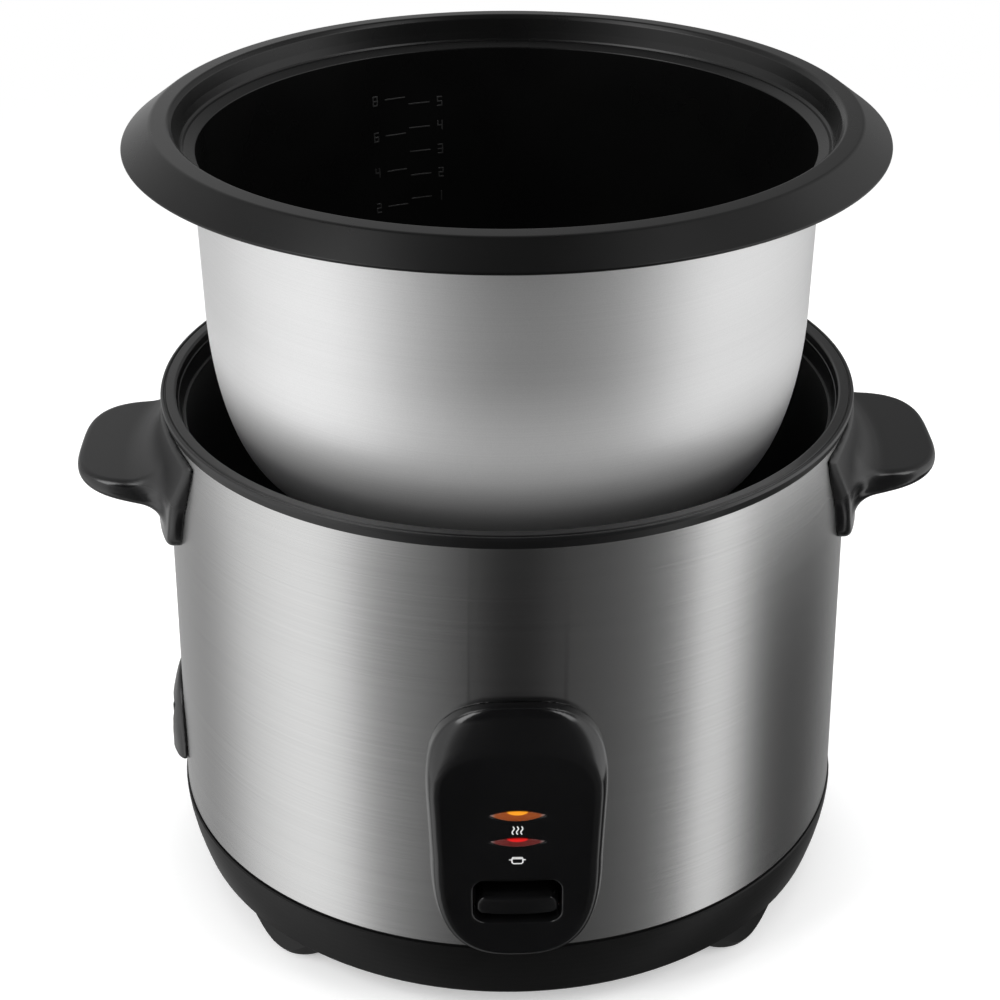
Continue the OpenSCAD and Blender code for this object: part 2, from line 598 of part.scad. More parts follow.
module magnet_rod() color("#b2b2b0") {
    translate([0, 0, magnet_b - 1]) cylinder(h = 1, r = magnet_r, $fn = round_fn);
    translate([0, 0, clip_top - 4.5])
        cylinder(h = magnet_b - 1 - clip_top + 4.5, r = rod_r, $fn = small_fn);
    translate([0, 0, fork_top + 0.6]) cylinder(h = 2, r = rod_r + 2, $fn = small_fn);
}
module rod_clip() color("#8f8f8d") translate([0, 0, clip_top - 1.5]) difference() {
    cylinder(h = 1.5, r = rod_r + 2.5, $fn = small_fn);
    translate([0, 0, -1]) cylinder(h = 4, r = rod_r + 0.02, $fn = small_fn);
}

// Switch. The lever turns on a pin behind the panel and lifts the magnet at its back end.
ear_x = 12.3; // inner face of the bracket's ears
ear_t = 1.2;
boss_r = pin_r + 2.5;
tab_y = 20; // distance of the plunger behind the lever's pin
tab_z = pin_z - 2.5; // underside of the tab above the plunger
switch_top = tab_z - 4.5; // top of the small switch
plunger_x = 18;
ear_w = 6; // how far the ears reach past the pin
module rivet_places() for (x = [-9, 9]) translate([x, -pivot_y + 19, 0]) children();
module lever_bracket() color("#a3a3a0") difference() {
    union() {
        block([-ear_x - ear_t, -pivot_y + 6.5, floor_b - ear_t], [ear_x + ear_t, -pivot_y + 24, floor_b]);
        for (x = [-ear_x - ear_t, ear_x]) translate([x, 0, 0]) rotate([90, 0, 90]) linear_extrude(ear_t)
            polygon([[-pivot_y - ear_w, pin_z - ear_w], [-pivot_y - ear_w, pin_z + 5],
                [-pivot_y + 4, floor_b - ear_t], [-pivot_y + 6.5, floor_b], [-pivot_y + 13, floor_b],
                [-pivot_y + 13, pin_z - ear_w]]);
        block([ear_x, -pivot_y - ear_w, switch_top - 18], [ear_x + ear_t, -pivot_y + 36, pin_z - ear_w + 2]);
    }
    translate([0, -pivot_y, pin_z]) along_x(-20, 20, pin_r + run_gap);
    rivet_places() translate([0, 0, floor_b - 5]) cylinder(h = 10, r = rivet_r + tap, $fn = small_fn);
}
module bracket_rivets() color("#8f8f8d") rivet_places() {
    translate([0, 0, floor_b - ear_t - 1]) cylinder(h = 1, r = 3, $fn = small_fn);
    translate([0, 0, floor_b - ear_t - 1]) cylinder(h = ear_t + liner_t + 2, r = rivet_r, $fn = small_fn);
    translate([0, 0, floor_z]) cylinder(h = 1, r = 3, $fn = small_fn);
}
module lever_pin() color("#8f8f8d") translate([0, -pivot_y, pin_z]) {
    along_x(-ear_x - ear_t, ear_x + ear_t, pin_r);
    for (x = [-1, 1]) mirror([x < 0 ? 1 : 0, 0, 0]) along_x(ear_x + ear_t, ear_x + ear_t + 1.2, pin_r + 1);
}
tongue_z = pin_z + 2.4; // underside of the tongue inside the paddle
tongue_t = 2;
tongue_end = -pivot_y - 24;
module tongue(gap)
    block([-8 - gap, tongue_end - gap, tongue_z - gap], [8 + gap, -pivot_y, tongue_z + tongue_t + gap]);
module lever_arm() color("#b4b4b2") difference() {
    union() {
        translate([0, -pivot_y, pin_z]) along_x(-ear_x + free, ear_x - free, boss_r);
        tongue(0);
        translate([-6, 0, 0]) rotate([90, 0, 90]) linear_extrude(12) polygon([
            [-pivot_y, pin_z + 2.5], [-0.59 * pivot_y, pin_z - 6], [-14, fork_top], [8, fork_top],
            [8, fork_top - lever_t], [-15, fork_top - lever_t], [-0.61 * pivot_y, pin_z - 9.5],
            [-pivot_y, pin_z - 2.5]]);
        block([-8, -14, fork_top - lever_t], [8, 8, fork_top]);
        block([0, -pivot_y + tab_y - 4, tab_z], [plunger_x + 3, -pivot_y + tab_y + 4, tab_z + 2]);
    }
    translate([0, -pivot_y, pin_z]) along_x(-20, 20, pin_r + run_gap);
    block([-rod_r - 0.5, -rod_r - 1.7, fork_top - 2 * lever_t], [rod_r + 0.5, 20, fork_top + lever_t]);
}
module switch_paddle() color("#101010") difference() {
    front = face_y + (face_z - base_h - paddle_z - paddle_h / 2) * tan(face_lean) + 0.3;
    union() {
        translate([0, tongue_end + 4, base_h + paddle_z + paddle_h / 2]) rotate([90, 0, 0])
            linear_extrude(tongue_end + 4 - front) rounded(paddle_w, paddle_h, 2.5);
        block([-ear_x + free, tongue_end + 3, pin_z + 0.6],
            [ear_x - free, -pivot_y - boss_r - 3.5, pin_z + 6.2]);
    }
    tongue(0.05);
}
plunger_r = 1.5;
plunger_in = 6.5; // how deep the plunger reaches into the switch
case_w = 9;
case_h = 15;
blade_l = 6; // length of the switch's terminals
function blade_at(i) = [plunger_x, -pivot_y + 10 + 8 * i, switch_top - case_h - blade_l];
module micro_switch() color("#26262a") difference() {
    union() {
        block([ear_x + ear_t, -pivot_y + 4, switch_top - case_h],
            [ear_x + ear_t + case_w, -pivot_y + 32, switch_top]);
        for (i = [0:2]) block(blade_at(i) - [2.5, 0.4, 0], blade_at(i) + [2.5, 0.4, blade_l]);
    }
    translate([plunger_x, -pivot_y + tab_y, switch_top - plunger_in - 0.5])
        cylinder(h = far, r = plunger_r + run_gap, $fn = small_fn);
}
module switch_plunger() color("#d0342c")
    translate([plunger_x, -pivot_y + tab_y, switch_top - plunger_in])
        cylinder(h = tab_z - free - switch_top + plunger_in, r = plunger_r, $fn = small_fn);

// Mains inlet, on the left below the handle
inlet_z = base_h + socket_z;
inlet_out = shell_ro(inlet_z) + bezel_t; // outer face of the surround
module socket_place() mirror([1, 0, 0]) translate([0, 0, inlet_z]) children();
bezel_chin = 8; // height of the surround's rounded bottom
socket_wall = 2;
pin_in = 11; // how far the pins reach in behind the socket and out into it
module inlet_bezel() color("#161616") difference() {
    intersection() {
        shell_core(bezel_t);
        mirror([1, 0, 0]) translate([0, 0, inlet_z - 2.5]) rotate([90, 0, 90]) linear_extrude(far)
            polygon(concat(oval(bezel_w, bezel_h - bezel_chin, 2, 0, 180, 24),
                oval(bezel_w, bezel_chin, 3.5, 180, 360, 24)));
    }
    shell_core(fit);
    socket_box(0, far, socket_wall + fit);
}
module socket_box(x0, x1, grow) // a box round the socket's opening
    socket_place() block([x0, -socket_w / 2 - grow, -socket_h / 2 - grow],
        [x1, socket_w / 2 + grow, socket_h / 2 + grow]);
module inlet_socket() color("#1d1d1d") difference() {
    socket_box(inlet_out - 1 - socket_d - 2.5, inlet_out - 1, socket_wall);
    socket_box(inlet_out - 1 - socket_d, far, 0);
    blades(0.02);
}
function pin_at(y, z) = [inlet_out - socket_d - pin_in, y, z]; // inner end of a pin
module blades(gap) socket_place() for (p = [pin_at(-7, -2.5), pin_at(0, 2.5), pin_at(7, -2.5)])
    block(p - [0, 1 + gap, 2 + gap], p + [2 * pin_in, 1 + gap, 2 + gap]);
module inlet_pins() color("#b99a55") blades(0);

// Wires in the bay under the well. Their bends are in shares of the shell's radius and the bay's depth.
wire_r = 1.2;
bay_b = base_floor + base_wall; // floor of the bay
function in_bay(points) = [for (p = points)
    [p.x * shell_r, p.y * shell_r, bay_b + p.z * (floor_b - bay_b)]];
function off_pin(y) = [for (d = [[0.05, 0], [4, 0], [7.5, -5]]) // out of an inlet pin, then down
    [-pin_at(y, 0).x + d[0], y, inlet_z - 2.5 + d[1]]];
function off_blade(i) = [blade_at(i) - [0, 0, 0.05], blade_at(i) - [0, 0, 4]];
function off_element(s) = [for (z = [0.05, 5]) // down from an end of the heating element
    [element_ring * cos(term_a), s * element_ring * sin(term_a), floor_b - term_drop - z]];
function back(points) = [for (i = [len(points) - 1:-1:0]) points[i]];
module wire_live() color("#b03a2e") tube_path(concat(off_pin(7), in_bay([[-0.745, 0.062, 0.54],
    [-0.65, 0.016, 0.38], [-0.465, -0.19, 0.26], [-0.155, -0.48, 0.18], [0.08, -0.655, 0.12]]),
    back(off_blade(0))), wire_r, [1, 2, 0]);
module wire_neutral() color("#2e5fa3") tube_path(concat(off_pin(-7), in_bay([[-0.72, -0.078, 0.58],
    [-0.575, -0.016, 0.5], [-0.48, 0.08, 0.58]]), back(off_element(1))), wire_r, [1, -2, 0]);
module wire_heater() color("#b03a2e") tube_path(concat(off_blade(2), in_bay([[0.062, -0.466, 0.14],
    [-0.11, -0.34, 0.18], [-0.28, -0.25, 0.34], [-0.404, -0.156, 0.54]]), back(off_element(-1))),
    wire_r, [1, 1, 0]);
module wire_lamps() color("#d9d9d6") tube_path(concat(off_blade(1), in_bay([[0.195, -0.715, 0.14],
    [0.25, -0.81, 0.26], [0.264, -0.886, 0.5], [0.264, -0.937, 0.74], [0.24, -0.953, 1.02],
    [0.187, -0.961, 1.34], [0.124, -0.967, 1.54]])), wire_r, [1, 1, 0]);

// Pot. Its profile is drawn from its underside at 0 up to the lip, then lifted into place.
bend_r = pot_r - pot_draft - bend_w; // radius of the flat bottom
ledge_z = pot_h - collar_h; // where the wall meets the ledge
lip_in = pot_r - pot_t + ledge_w + collar_lean; // inner edge of the lip's top
lip_out = skirt_r - skirt_w;
function pot_bend(t) = [for (i = [0:14]) let (a = 90 * i / 14)
    [bend_r + (bend_w - t) * sin(a), bend_h - (bend_h - t) * cos(a)]];
module inner_pot() color("#cfd0ce") translate([0, 0, pot_z]) turned(concat([[0, 0]], pot_bend(0), [
    [pot_r, ledge_z - 2.1], [pot_r + 1.1, ledge_z - 1.5], [pot_r + 4.5, ledge_z - 0.1],
    [lip_in - 1.1, ledge_z + 0.9], [lip_in + 0.1, ledge_z + 5], [lip_in + 1.3, pot_h - 2.1],
    [lip_in + 1.9, pot_h - 1.6], [lip_out - 1, pot_h - 1.6], [skirt_r - 1, pot_h - 1.1 - skirt_drop],
    [skirt_r - 0.5, pot_h - 1 - skirt_drop], [skirt_r, pot_h - 0.5 - skirt_drop],
    [skirt_r - 0.2, pot_h - skirt_drop], [lip_out, pot_h - 0.5], [lip_out - 0.7, pot_h - 0.1],
    [lip_in + 2, pot_h], [lip_in + 0.9, pot_h - 0.1], [lip_in, pot_h - 0.8], [lip_in - 0.4, pot_h - 1.8],
    [lip_in - 1.5, ledge_z + 5], [lip_in - 2.4, ledge_z + 2.2], [lip_in - 3.1, ledge_z + 1.4],
    [lip_in - 4.2, ledge_z + 1.5], [pot_r - pot_t, ledge_z]],
    [for (i = [14:-1:0]) pot_bend(pot_t)[i]], [[0, pot_t]]));

outer_shell();
top_ring();
inner_liner();
base();
foot_pads();
bottom_plate();
plate_screws();
post_screws();
handle_left();
handle_right();
handle_screws();
control_panel();
panel_screws();
warm_lens();
cook_lens();
lamp_holder();
warm_lamp();
cook_lamp();
heating_plate();
plate_spacers();
plate_bolts();
heating_element();
terminal_bushes();
keep_warm_band();
thermal_fuse();
fuse_clip();
sensor_guide();
sensor_cap();
ferrite_disc();
sensor_spring();
magnet();
magnet_rod();
rod_clip();
lever_bracket();
bracket_rivets();
lever_pin();
lever_arm();
switch_paddle();
micro_switch();
switch_plunger();
inlet_bezel();
inlet_socket();
inlet_pins();
wire_live();
wire_neutral();
wire_heater();
wire_lamps();
inner_pot();
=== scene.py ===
"""Rice cooker with its pot lifted out: the looks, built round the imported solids."""
import math

import bpy
import numpy as np
import openvdb
from mathutils import Matrix, Vector


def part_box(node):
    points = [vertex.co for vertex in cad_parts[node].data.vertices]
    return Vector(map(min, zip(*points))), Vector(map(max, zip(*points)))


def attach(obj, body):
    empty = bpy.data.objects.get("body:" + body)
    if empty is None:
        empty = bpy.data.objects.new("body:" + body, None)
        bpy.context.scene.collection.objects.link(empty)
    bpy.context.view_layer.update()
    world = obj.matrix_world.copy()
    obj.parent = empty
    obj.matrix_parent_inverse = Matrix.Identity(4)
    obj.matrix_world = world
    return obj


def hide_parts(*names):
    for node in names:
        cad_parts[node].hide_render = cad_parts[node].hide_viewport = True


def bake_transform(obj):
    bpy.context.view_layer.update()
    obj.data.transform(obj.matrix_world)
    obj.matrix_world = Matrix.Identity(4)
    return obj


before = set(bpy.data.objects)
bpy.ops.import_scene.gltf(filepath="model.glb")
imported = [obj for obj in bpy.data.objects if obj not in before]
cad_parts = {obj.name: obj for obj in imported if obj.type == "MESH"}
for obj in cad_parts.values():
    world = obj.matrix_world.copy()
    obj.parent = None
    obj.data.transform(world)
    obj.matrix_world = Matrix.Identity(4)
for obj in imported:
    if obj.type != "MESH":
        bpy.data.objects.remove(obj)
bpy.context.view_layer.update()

bl_info = {
    "name": "Rice cooker",
    "version": (1, 0, 0),
    "blender": (4, 5, 0),
    "location": "3D View > Sidebar > Cooker",
    "description": "Dresses a rice cooker's solids with its surfaces and finishes",
    "category": "Object",
}

MM = 0.001
GRAIN_DEPTH = 0.0002  # metres, for the bump of every finish

# The openings of the panel, in millimetres. Heights are over the seam of the base and the shell.
RECESS_W, RECESS_H, RECESS_Z = 31.5, 19.6, 25.8
LENS_W = 20.4
LENSES = (("warm_lens", "amber_lens", 64, 4.1),  # name, slot, height of the middle, lens height
          ("cook_lens", "red_lens", 52.5, 3.4))


# ---------------------------------------------------------------- sizes and colours

def length(name, default, description):
    """A length in metres that a user may change; the default is given in millimetres."""
    return bpy.props.FloatProperty(name=name, description=description, default=default * MM,
                                   min=0.0, subtype="DISTANCE", unit="LENGTH", precision=5)


def colour(name, default, description):
    """A colour that a user may change."""
    return bpy.props.FloatVectorProperty(name=name, description=description, default=default,
                                         size=3, min=0.0, max=1.0, subtype="COLOR")


class CookerSizes(bpy.types.PropertyGroup):
    """Sizes of the pieces that are drawn again in fine detail."""
    body_h: length("Body height", 203, "Height of the ring's top face above the table")
    base_h: length("Base height", 35, "Height of the seam between the base and the shell")
    shell_r: length("Shell radius", 128.6, "Outer radius of the shell at its top")
    shell_flare: length("Shell flare", 2.6, "Growth of the shell's radius down to the seam")
    ring_edge: length("Ring edge", 4.5, "Height of the ring's outer edge")
    ring_over: length("Ring overhang", 1.4, "How far the ring reaches out past the shell")
    pot_r: length("Pot radius", 112.3, "Outer radius of the pot's wall at its top")
    pot_t: length("Pot wall", 1.6, "Wall thickness of the pot")
    skirt_r: length("Pot skirt radius", 136.6, "Radius of the pot's rolled skirt")
    handle_out: length("Handle reach", 34.4, "How far a handle stands out from the shell")
    handle_half: length("Handle half width", 37, "Half width of a handle at the shell")
    grip_t: length("Grip thickness", 11, "Thickness of a handle's grip")
    panel_w: length("Panel half width", 31.8, "Half width of the control panel")
    panel_h: length("Panel height", 106, "Height of the control panel")
    voxel: length("Moulding detail", 0.6, "Grid step of the moulded pieces")


class CookerColours(bpy.types.PropertyGroup):
    """Colours of the finishes."""
    steel: colour("Steel", (0.555, 0.555, 0.552), "Brushed stainless steel of the shell")
    aluminium: colour("Aluminium", (0.80, 0.80, 0.80), "Spun aluminium of the pot")
    coating: colour("Coating", (0.0025, 0.0025, 0.0025), "Non-stick coating of the pot")
    black: colour("Black plastic", (0.004, 0.004, 0.0042), "Glossy black mouldings")
    satin: colour("Satin black", (0.005, 0.005, 0.005), "Satin black base")
    rubber: colour("Rubber", (0.03, 0.03, 0.03), "Rubber of the feet's pads")
    amber: colour("Amber", (0.30, 0.065, 0.012), "Upper lamp's lens")
    red: colour("Red", (0.13, 0.018, 0.016), "Lower lamp's lens")
    floor: colour("Floor", (0.86, 0.86, 0.86), "Floor and backdrop")


# ---------------------------------------------------------------- shader maths

class Nodes:
    """The node tree of a material or a world, with one way to add a node."""

    def __init__(self, owner):
        self.material = bpy.data.materials.new(owner) if isinstance(owner, str) else owner
        self.material.use_nodes = True
        self.tree = self.material.node_tree
        self.tree.nodes.clear()

    def add(self, kind, settings=None, inputs=None, out=0):
        """Adds a node of a kind, sets its settings, then its sockets, and returns an output."""
        node = self.tree.nodes.new(kind)
        for key, value in (settings or {}).items():
            if key == "stops":
                ramp = node.color_ramp
                while len(ramp.elements) < len(value):
                    ramp.elements.new(0.5)
                for element, (stop, shade) in zip(ramp.elements, value):
                    element.position = stop
                    element.color = (shade, shade, shade, 1)
            else:
                setattr(node, key, value)
        for key, value in (inputs or {}).items():
            self.put(node.inputs[key], value)
        return Wire(self, node.outputs[out]) if len(node.outputs) else None

    def put(self, socket, value):
        """Links an output to a socket, or sets the socket's own value."""
        if isinstance(value, Wire):
            self.tree.links.new(value.socket, socket)
        elif hasattr(socket.default_value, "__len__"):
            value = tuple(value)
            socket.default_value = value + (1.0,) * (len(socket.default_value) - len(value))
        else:
            socket.default_value = value


class Wire:
    """An output socket that takes part in arithmetic."""

    def __init__(self, nodes, socket):
        self.nodes, self.socket = nodes, socket

    def maths(self, operation, a, b):
        """Adds one Math node."""
        return self.nodes.add("ShaderNodeMath", {"operation": operation}, {0: a, 1: b})

    def __add__(self, other): return self.maths("ADD", self, other)
    def __radd__(self, other): return self.maths("ADD", other, self)
    def __sub__(self, other): return self.maths("SUBTRACT", self, other)
    def __rsub__(self, other): return self.maths("SUBTRACT", other, self)
    def __mul__(self, other): return self.maths("MULTIPLY", self, other)
    def __rmul__(self, other): return self.maths("MULTIPLY", other, self)
    def __truediv__(self, other): return self.maths("DIVIDE", self, other)
    def __pow__(self, other): return self.maths("POWER", self, other)
    def most(self, other): return self.maths("MAXIMUM", self, other)
    def angle(self, other): return self.maths("ARCTAN2", self, other)

    def step(self, low, high):
        """0 below low, 1 above high, and smooth between them."""
        return self.nodes.add("ShaderNodeMapRange", {"interpolation_type": "SMOOTHSTEP"},
                              {"Value": self, "From Min": low, "From Max": high})


def shaded(tint, share):
    """A colour made darker or lighter."""
    return [c * share for c in tint]


def mix(factor, a, b):
    """A blend of two colours by a mask; sockets 6 and 7 and output 2 are the node's colours."""
    return factor.nodes.add("ShaderNodeMix", {"data_type": "RGBA"}, {0: factor, 6: a, 7: b}, 2)


def parts(nodes, vector):
    """The three numbers of a vector."""
    apart = nodes.add("ShaderNodeSeparateXYZ", None, {0: vector}).socket.node
    return [Wire(nodes, o) for o in apart.outputs]


def place(nodes):
    """The point on the object, in metres."""
    return nodes.add("ShaderNodeTexCoord", out="Object")


def from_axis(x, y):
    """How far a point is from the body's axis."""
    return (x * x + y * y) ** 0.5


def noise(nodes, point, scale, detail=2.0, stretch=None):
    """Noise on the object's own coordinates, with its scale in waves a metre."""
    if stretch:
        point = nodes.add("ShaderNodeVectorMath", {"operation": "MULTIPLY"}, {0: point, 1: stretch})
    inputs = {"Vector": point, "Scale": scale, "Detail": detail}
    return nodes.add("ShaderNodeTexNoise", None, inputs)


def finish_surface(nodes, grain, strength, **sockets):
    """Closes a material with a Principled shader and a bump; names use _ for a blank."""
    inputs = {key.replace("_", " "): value for key, value in sockets.items()}
    inputs["Normal"] = nodes.add("ShaderNodeBump", None,
                                 {"Strength": strength, "Distance": GRAIN_DEPTH, "Height": grain})
    shader = nodes.add("ShaderNodeBsdfPrincipled", None, inputs)
    nodes.add("ShaderNodeOutputMaterial", None, {"Surface": shader})
    return nodes.material


def brushed_steel(tint):
    """Stainless steel brushed round the body, with fine streaks of uneven length."""
    nodes = Nodes("brushed_steel")
    point = place(nodes)
    fine = noise(nodes, point, 1.0, 3.0, (10, 10, 9000))
    broad = noise(nodes, point, 1.0, 2.0, (4, 4, 2600))
    grain = fine * 0.7 + broad * 0.3
    shade = mix(grain.step(0.3, 0.7), shaded(tint, 0.93), shaded(tint, 1.05))
    return finish_surface(nodes, fine, 0.035, Base_Color=shade, Metallic=1.0,
                          Roughness=0.18 + fine * 0.08, Anisotropic=0.75)


def spun_aluminium(tint, bend_low, bend_high):
    """Satin aluminium with faint rings from spinning, blasted softer between two heights."""
    nodes = Nodes("spun_aluminium")
    point = place(nodes)
    z = parts(nodes, point)[2]
    fade = 20 * MM
    soft = (1 - z.step(bend_low + fade, bend_high)) * z.step(bend_low, bend_low + fade)
    rings = noise(nodes, point, 1.0, 3.0, (6, 6, 6000))
    grit = noise(nodes, point, 2600.0, 2.0)
    blotch = noise(nodes, point, 22.0, 2.0)
    grain = rings * 0.5 + grit * 0.5
    shade = mix(grain.step(0.3, 0.7), shaded(tint, 0.96), shaded(tint, 1.03))
    return finish_surface(nodes, grain, 0.06, Base_Color=shade, Metallic=0.87 - soft * 0.27,
                          Roughness=0.42 + blotch * 0.07, Anisotropic=0.2)


def moulded(name, tint, rough, grain_strength=0.06, grain=1400.0, specular=0.5):
    """Moulded black plastic with a fine grain and slightly uneven gloss."""
    nodes = Nodes(name)
    point = place(nodes)
    fine = noise(nodes, point, grain, 3.0)
    broad = noise(nodes, point, 26.0, 3.0)
    shade = mix(broad.step(0.35, 0.65), tint, shaded(tint, 1.25))
    return finish_surface(nodes, fine, grain_strength, Base_Color=shade,
                          Roughness=rough - 0.04 + broad * 0.08, Specular_IOR_Level=specular)


def handle_plastic(tint, top):
    """Black plastic, grained on the flat top of the grip and glossy round its edge."""
    nodes = Nodes("handle_black")
    point = place(nodes)
    x, y, z = parts(nodes, point)
    fine = noise(nodes, point, 1500.0, 3.0)
    grip = from_axis(x, y).step(0.136, 0.140)
    flat = z.step(top - 0.0011, top - 0.0003) * grip + z.step(top - 0.006, top + 0.003) * (1 - grip)
    shade = mix(fine.step(0.3, 0.7), tint, shaded(tint, 1.5))
    return finish_surface(nodes, fine * flat, 0.16, Base_Color=shade, Roughness=0.13 + flat * 0.27)


def lens_plastic(name, tint, painted_glow_colour, height, high):
    """Clear coloured plastic with a painted glow at the upper middle where its lamp is, and painted
    reflections on its pale tips.
    """
    nodes = Nodes(name + "_plastic")
    point = place(nodes)
    x, _, z = parts(nodes, point)
    fine = noise(nodes, point, 900.0, 2.0)
    across, up = x / (LENS_W / 2 * MM), (z - height) / (high / 2)
    # Painted glow: the base colour turns to the glow colour at the upper middle, though the lamp
    # gives no light.
    glow = (across * across * 5.5 + (up - 1.05) * (up - 1.05) * 1.9).step(0.95, 0.5)
    # Painted reflection: the tips of the lens are made pale.
    tip_reflection = (across * across).step(0.52, 0.95)
    shade = mix(tip_reflection, mix(glow, mix(fine, shaded(tint, 0.85), tint), painted_glow_colour), (0.42, 0.34, 0.33))
    return finish_surface(nodes, fine, 0.02, Base_Color=shade, Roughness=0.14 + fine * 0.04,
                          Coat_Weight=0.6)


def plain(name, tint, rough, grain, strength, metallic):
    """A plain finish with a fine grain."""
    nodes = Nodes(name)
    fine = noise(nodes, place(nodes), grain, 3.0)
    return finish_surface(nodes, fine, strength, Base_Color=mix(fine, shaded(tint, 0.85), tint),
                          Metallic=metallic, Roughness=rough + fine * 0.1)


def metal(name, tint, rough, grain=900.0):
    """Plain metal of a hidden or small piece."""
    return plain(name, tint, rough, grain, 0.08, 1.0)


def matte(name, tint, rough):
    """Plain plastic, rubber, ceramic, print, lamp or wire sleeve."""
    return plain(name, tint, rough, 900.0, 0.1, 0.0)


# ---------------------------------------------------------------- meshes

def piece(name, points, faces, materials, marks=None, body="cooker", replaces=(), slot=None):
    """Makes a smooth mesh object that rides on a body and may stand for solids."""
    data = bpy.data.meshes.new(name)
    data.from_pydata([tuple(p) for p in points], [], [tuple(f) for f in faces])
    obj = bpy.data.objects.new(name, data)
    bpy.context.scene.collection.objects.link(obj)
    for m in materials:
        data.materials.append(m)
    if marks is not None:
        data.polygons.foreach_set("material_index", np.asarray(marks, np.int32))
    data.shade_smooth()
    data.validate()
    weighted = obj.modifiers.new("normals", "WEIGHTED_NORMAL")
    weighted.keep_sharp = True
    if body:
        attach(obj, body)
    if replaces:
        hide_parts(*replaces)
    return obj


def rounded(points, radius, steps):
    """A closed outline with its corners rounded. A point may carry its own radius and a mark."""
    out = []
    n = len(points)
    for i in range(n):
        p = np.array(points[i][:2], float)
        own = points[i][2] if len(points[i]) > 2 else radius
        a = np.array(points[i - 1][:2], float) - p
        b = np.array(points[(i + 1) % n][:2], float) - p
        la, lb = np.linalg.norm(a), np.linalg.norm(b)
        a, b = a / la, b / lb
        turn = math.acos(max(-1.0, min(1.0, float(a @ b))))
        cut = min(own / max(math.tan(turn / 2), 1e-6), 0.45 * la, 0.45 * lb)
        if own <= 0 or cut < 1e-4 or turn > math.pi - 0.02:
            out.append((p[0], p[1], i))
            continue
        r = cut * math.tan(turn / 2)
        centre = p + (a + b) / np.linalg.norm(a + b) * r / math.sin(turn / 2)
        s, e = p + a * cut - centre, p + b * cut - centre
        sweep = math.pi - turn
        side = np.sign(s[0] * e[1] - s[1] * e[0])
        for k in range(steps + 1):
            t = side * sweep * k / steps
            c, q = math.cos(t), math.sin(t)
            v = centre + np.array([s[0] * c - s[1] * q, s[0] * q + s[1] * c])
            out.append((v[0], v[1], i))
    return out


def lathe(profile, segments=256):
    """Turns a closed outline of (radius, height) round the axis. Returns points, faces and rows."""
    ring = np.array([(p[0], p[1]) for p in profile]) * MM
    n = len(ring)
    angle = np.linspace(0, 2 * math.pi, segments, endpoint=False)
    points, first = [], []
    for r, z in ring:
        first.append(len(points))
        if r < 1e-7:
            points.append((0.0, 0.0, z))
        else:
            points.extend(zip(r * np.cos(angle), r * np.sin(angle), [z] * segments))
    faces, rows = [], []
    for i in range(n):
        j = (i + 1) % n
        pole_i, pole_j = ring[i][0] < 1e-7, ring[j][0] < 1e-7
        if pole_i and pole_j:
            continue
        for k in range(segments):
            m = (k + 1) % segments
            a, b = first[i] + (0 if pole_i else k), first[i] + (0 if pole_i else m)
            c, d = first[j] + (0 if pole_j else m), first[j] + (0 if pole_j else k)
            faces.append([a, c, d] if pole_i else [a, b, c] if pole_j else [a, b, c, d])
            rows.append(i)
    return points, faces, rows


def holed_wall(radius, thick, low, high, holes):
    """A round sheet wall with rectangular holes, each given by its angles and heights."""
    edge, tuck = 0.15, 0.12  # the outer face's edges are broken
    angles = {round(a, 6) for a in np.linspace(0, 2 * math.pi, 360, endpoint=False)}
    levels = {low, low + edge, high - edge, high}
    for a, b, c, d in holes:
        angles |= {round(a, 6), round(b, 6)}
        levels |= {c, d}
    angles, levels = sorted(angles), sorted(levels)
    n, m = len(angles), len(levels)
    points = []
    for side in (0.0, thick):
        for z in levels:
            r = radius(z) - side - (tuck if z in (low, high) and side == 0 else 0)
            points += [(r * math.cos(a) * MM, r * math.sin(a) * MM, z * MM) for a in angles]

    def solid(i, j):
        if not 0 <= j < m - 1:
            return False
        turn = (angles[i % n] + angles[(i + 1) % n] + (2 * math.pi if (i + 1) % n == 0 else 0)) / 2
        level = (levels[j] + levels[j + 1]) / 2
        return not any(a < turn < b and c < level < d for a, b, c, d in holes)

    faces = []
    for j in range(m - 1):
        for i in range(n):
            if not solid(i, j):
                continue
            a, b, c, d = j * n + i, j * n + (i + 1) % n, (j + 1) * n + (i + 1) % n, (j + 1) * n + i
            back = n * m
            faces += [(a, b, c, d), (d + back, c + back, b + back, a + back)]
            for out, p, q in ((solid(i, j - 1), a, b), (solid(i + 1, j), b, c),
                              (solid(i, j + 1), c, d), (solid(i - 1, j), d, a)):
                if not out:
                    faces.append((p, p + back, q + back, q))
    used = sorted({k for f in faces for k in f})
    place_of = {k: i for i, k in enumerate(used)}
    return [points[k] for k in used], [[place_of[k] for k in f] for f in faces]


def moulding(field, low, high, voxel):
    """The surface where a field of signed distances, in millimetres, is zero, inside a box."""
    axes = [np.arange(a, b + voxel, voxel) for a, b in zip(low, high)]
    grid = np.meshgrid(*axes, indexing="ij")
    volume = openvdb.FloatGrid(10.0)
    volume.copyFromArray(np.clip(field(*grid), -10, 10).astype(np.float32))
    points, triangles, quads = volume.convertToPolygons(0.0, 0.0)
    points = points.astype(float) * voxel + np.array(low)
    e = 0.02  # the step that the field's slope is measured with
    for _ in range(3):  # pulls the points onto the exact surface
        value = field(*points.T)
        slope = np.stack([(field(*(points + d).T) - field(*(points - d).T)) / (2 * e)
                          for d in np.eye(3) * e], 1)
        size = np.maximum((slope ** 2).sum(1), 0.05)
        points -= slope * np.clip(value / size, -0.3, 0.3)[:, None]
    faces = [tuple(f[::-1]) for f in quads] + [tuple(f[::-1]) for f in triangles]
    return points * MM, faces


def smooth_least(a, b, k):
    """The lesser of two distances, with a fillet of about k where they meet."""
    h = np.maximum(k - np.abs(a - b), 0) / k
    return np.minimum(a, b) - h * h * k / 4


def smooth_most(a, b, k):
    """The greater of two distances, with its edge rounded by about k."""
    return -smooth_least(-a, -b, k)


